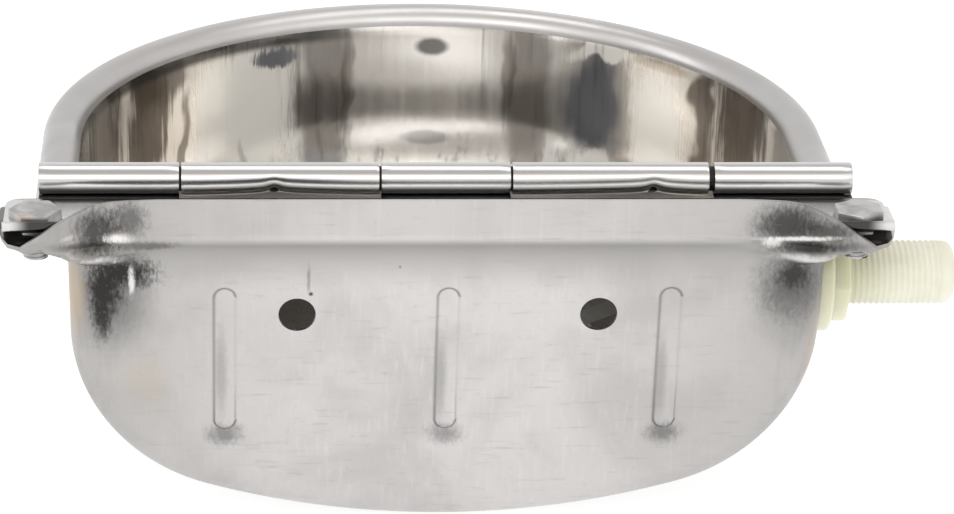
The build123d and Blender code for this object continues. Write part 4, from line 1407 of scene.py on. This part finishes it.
def pale_floor(settings):
    bm = bmesh.new()
    bmesh.ops.create_grid(bm, x_segments=2, y_segments=2, size=settings.floor_size / 2)
    bmesh.ops.translate(bm, verts=bm.verts, vec=(0, 0, SHELL_LOW.z - 0.2 * MM))
    mesh = bpy.data.meshes.new("floor")
    bm.to_mesh(mesh)
    bm.free()
    floor = bpy.data.objects.new("floor", mesh)
    bpy.context.scene.collection.objects.link(floor)
    finish = Finish("pale floor", Roughness=0.9, Base_Color=(*settings.floor, 1),
                    Emission_Color=(1, 1, 1, 1), Emission_Strength=0.76)
    mesh.materials.append(finish.material)


def studio_world():
    """Bright room with a greyer top and a brighter window behind the camera."""
    world = bpy.data.worlds.new("studio")
    world.use_nodes = True
    back = next(n for n in world.node_tree.nodes if n.type == "BACKGROUND")
    n = Nodes(world.node_tree)
    direction = n.add("TexCoord")["Generated"]
    _, ahead, height = n.add("SeparateXYZ", {0: direction})
    window = n.times(n.ramp(height, 0.28, 0.40), n.ramp(height, 0.80, 0.66),
                     n.ramp(ahead, -0.45, -0.62))
    room = n.layers(LOW_WALL, (n.ramp(height, 0.60, 0.80), HIGH_WALL), (window, WINDOW))
    n.put(room, back.inputs["Color"])
    back.inputs["Strength"].default_value = 1.0
    bpy.context.scene.world = world


# ---------------------------------------------------------------- operators

class DrinkerStep:
    """Shared part of the operators: each makes its own pieces."""
    bl_options = {"REGISTER", "UNDO"}

    def execute(self, context):
        self.make(context.scene)
        return {"FINISHED"}


class DRINKER_OT_bowl(DrinkerStep, Operator):
    """Press the bowl with its rolled rim, band, ears, ribs and wall holes"""
    bl_idname = "drinker.bowl"
    bl_label = "Bowl"

    def make(self, scene):
        bowl_piece(scene.drinker_bowl)


class DRINKER_OT_hinge_strip(DrinkerStep, Operator):
    """Make the strip across the back with its curled knuckles"""
    bl_idname = "drinker.hinge_strip"
    bl_label = "Hinge strip"

    def make(self, scene):
        hinge_strip_piece(scene.drinker_hinge)


class DRINKER_OT_flap(DrinkerStep, Operator):
    """Make the hinged flap with its crimped knuckles"""
    bl_idname = "drinker.flap"
    bl_label = "Flap"

    def make(self, scene):
        flap_piece(scene.drinker_hinge)


class DRINKER_OT_fasteners(DrinkerStep, Operator):
    """Make the ear bolts and their nuts"""
    bl_idname = "drinker.fasteners"
    bl_label = "Ear bolts and nuts"

    def make(self, scene):
        sizes = scene.drinker_fasteners
        bolt_piece(sizes, "ear_bolt_left", pi / 6)
        bolt_piece(sizes, "ear_bolt_right", 0)
        for name in ("ear_nut_left", "ear_nut_right"):
            nut_piece(sizes, name)


class DRINKER_OT_inlet(DrinkerStep, Operator):
    """Make the threaded inlet with its washer and lock nut"""
    bl_idname = "drinker.inlet"
    bl_label = "Inlet"

    def make(self, scene):
        inlet_piece(scene.drinker_inlet)
        washer_piece()
        lock_nut_piece(scene.drinker_fasteners)


class DRINKER_OT_valve_and_float(DrinkerStep, Operator):
    """Give the pieces of the valve and the float their finish"""
    bl_idname = "drinker.valve_and_float"
    bl_label = "Valve and float"

    def make(self, scene):
        for make_material, called_with, names in CAD_FINISHES:
            for name in names:
                mesh = frame["nodes"][name].data
                mesh.materials.clear()
                mesh.materials.append(make_material(*called_with))


class DRINKER_OT_stage(DrinkerStep, Operator):
    """Set the camera, the floor, the surround and the lights"""
    bl_idname = "drinker.stage"
    bl_label = "Stage"

    def make(self, scene):
        settings = scene.drinker_stage
        aim_camera(settings)
        pale_floor(settings)
        studio_world()
        for light in LIGHTS:
            soft_light(*light)
        scene.view_settings.view_transform = "Standard"


class VIEW3D_PT_drinker(Panel):
    """Buttons for each piece of the drinking bowl"""
    bl_label = "Drinking bowl"
    bl_idname = "VIEW3D_PT_drinker"
    bl_space_type = "VIEW_3D"
    bl_region_type = "UI"
    bl_category = "Drinker"

    def draw(self, context):
        for step in STEPS:
            self.layout.operator(step.bl_idname)


STEPS = (DRINKER_OT_bowl, DRINKER_OT_hinge_strip, DRINKER_OT_flap, DRINKER_OT_fasteners,
         DRINKER_OT_inlet, DRINKER_OT_valve_and_float, DRINKER_OT_stage)
CLASSES = (*SETTINGS.values(), *STEPS, VIEW3D_PT_drinker)


def register():
    for item in CLASSES:
        bpy.utils.register_class(item)
    for name, group in SETTINGS.items():
        setattr(bpy.types.Scene, name, PointerProperty(type=group))


def unregister():
    for name in SETTINGS:
        delattr(bpy.types.Scene, name)
    for item in reversed(CLASSES):
        bpy.utils.unregister_class(item)


def main():
    register()
    for step in STEPS:
        group, name = step.bl_idname.split(".")
        getattr(getattr(bpy.ops, group), name)()


if __name__ == "__main__":
    main()
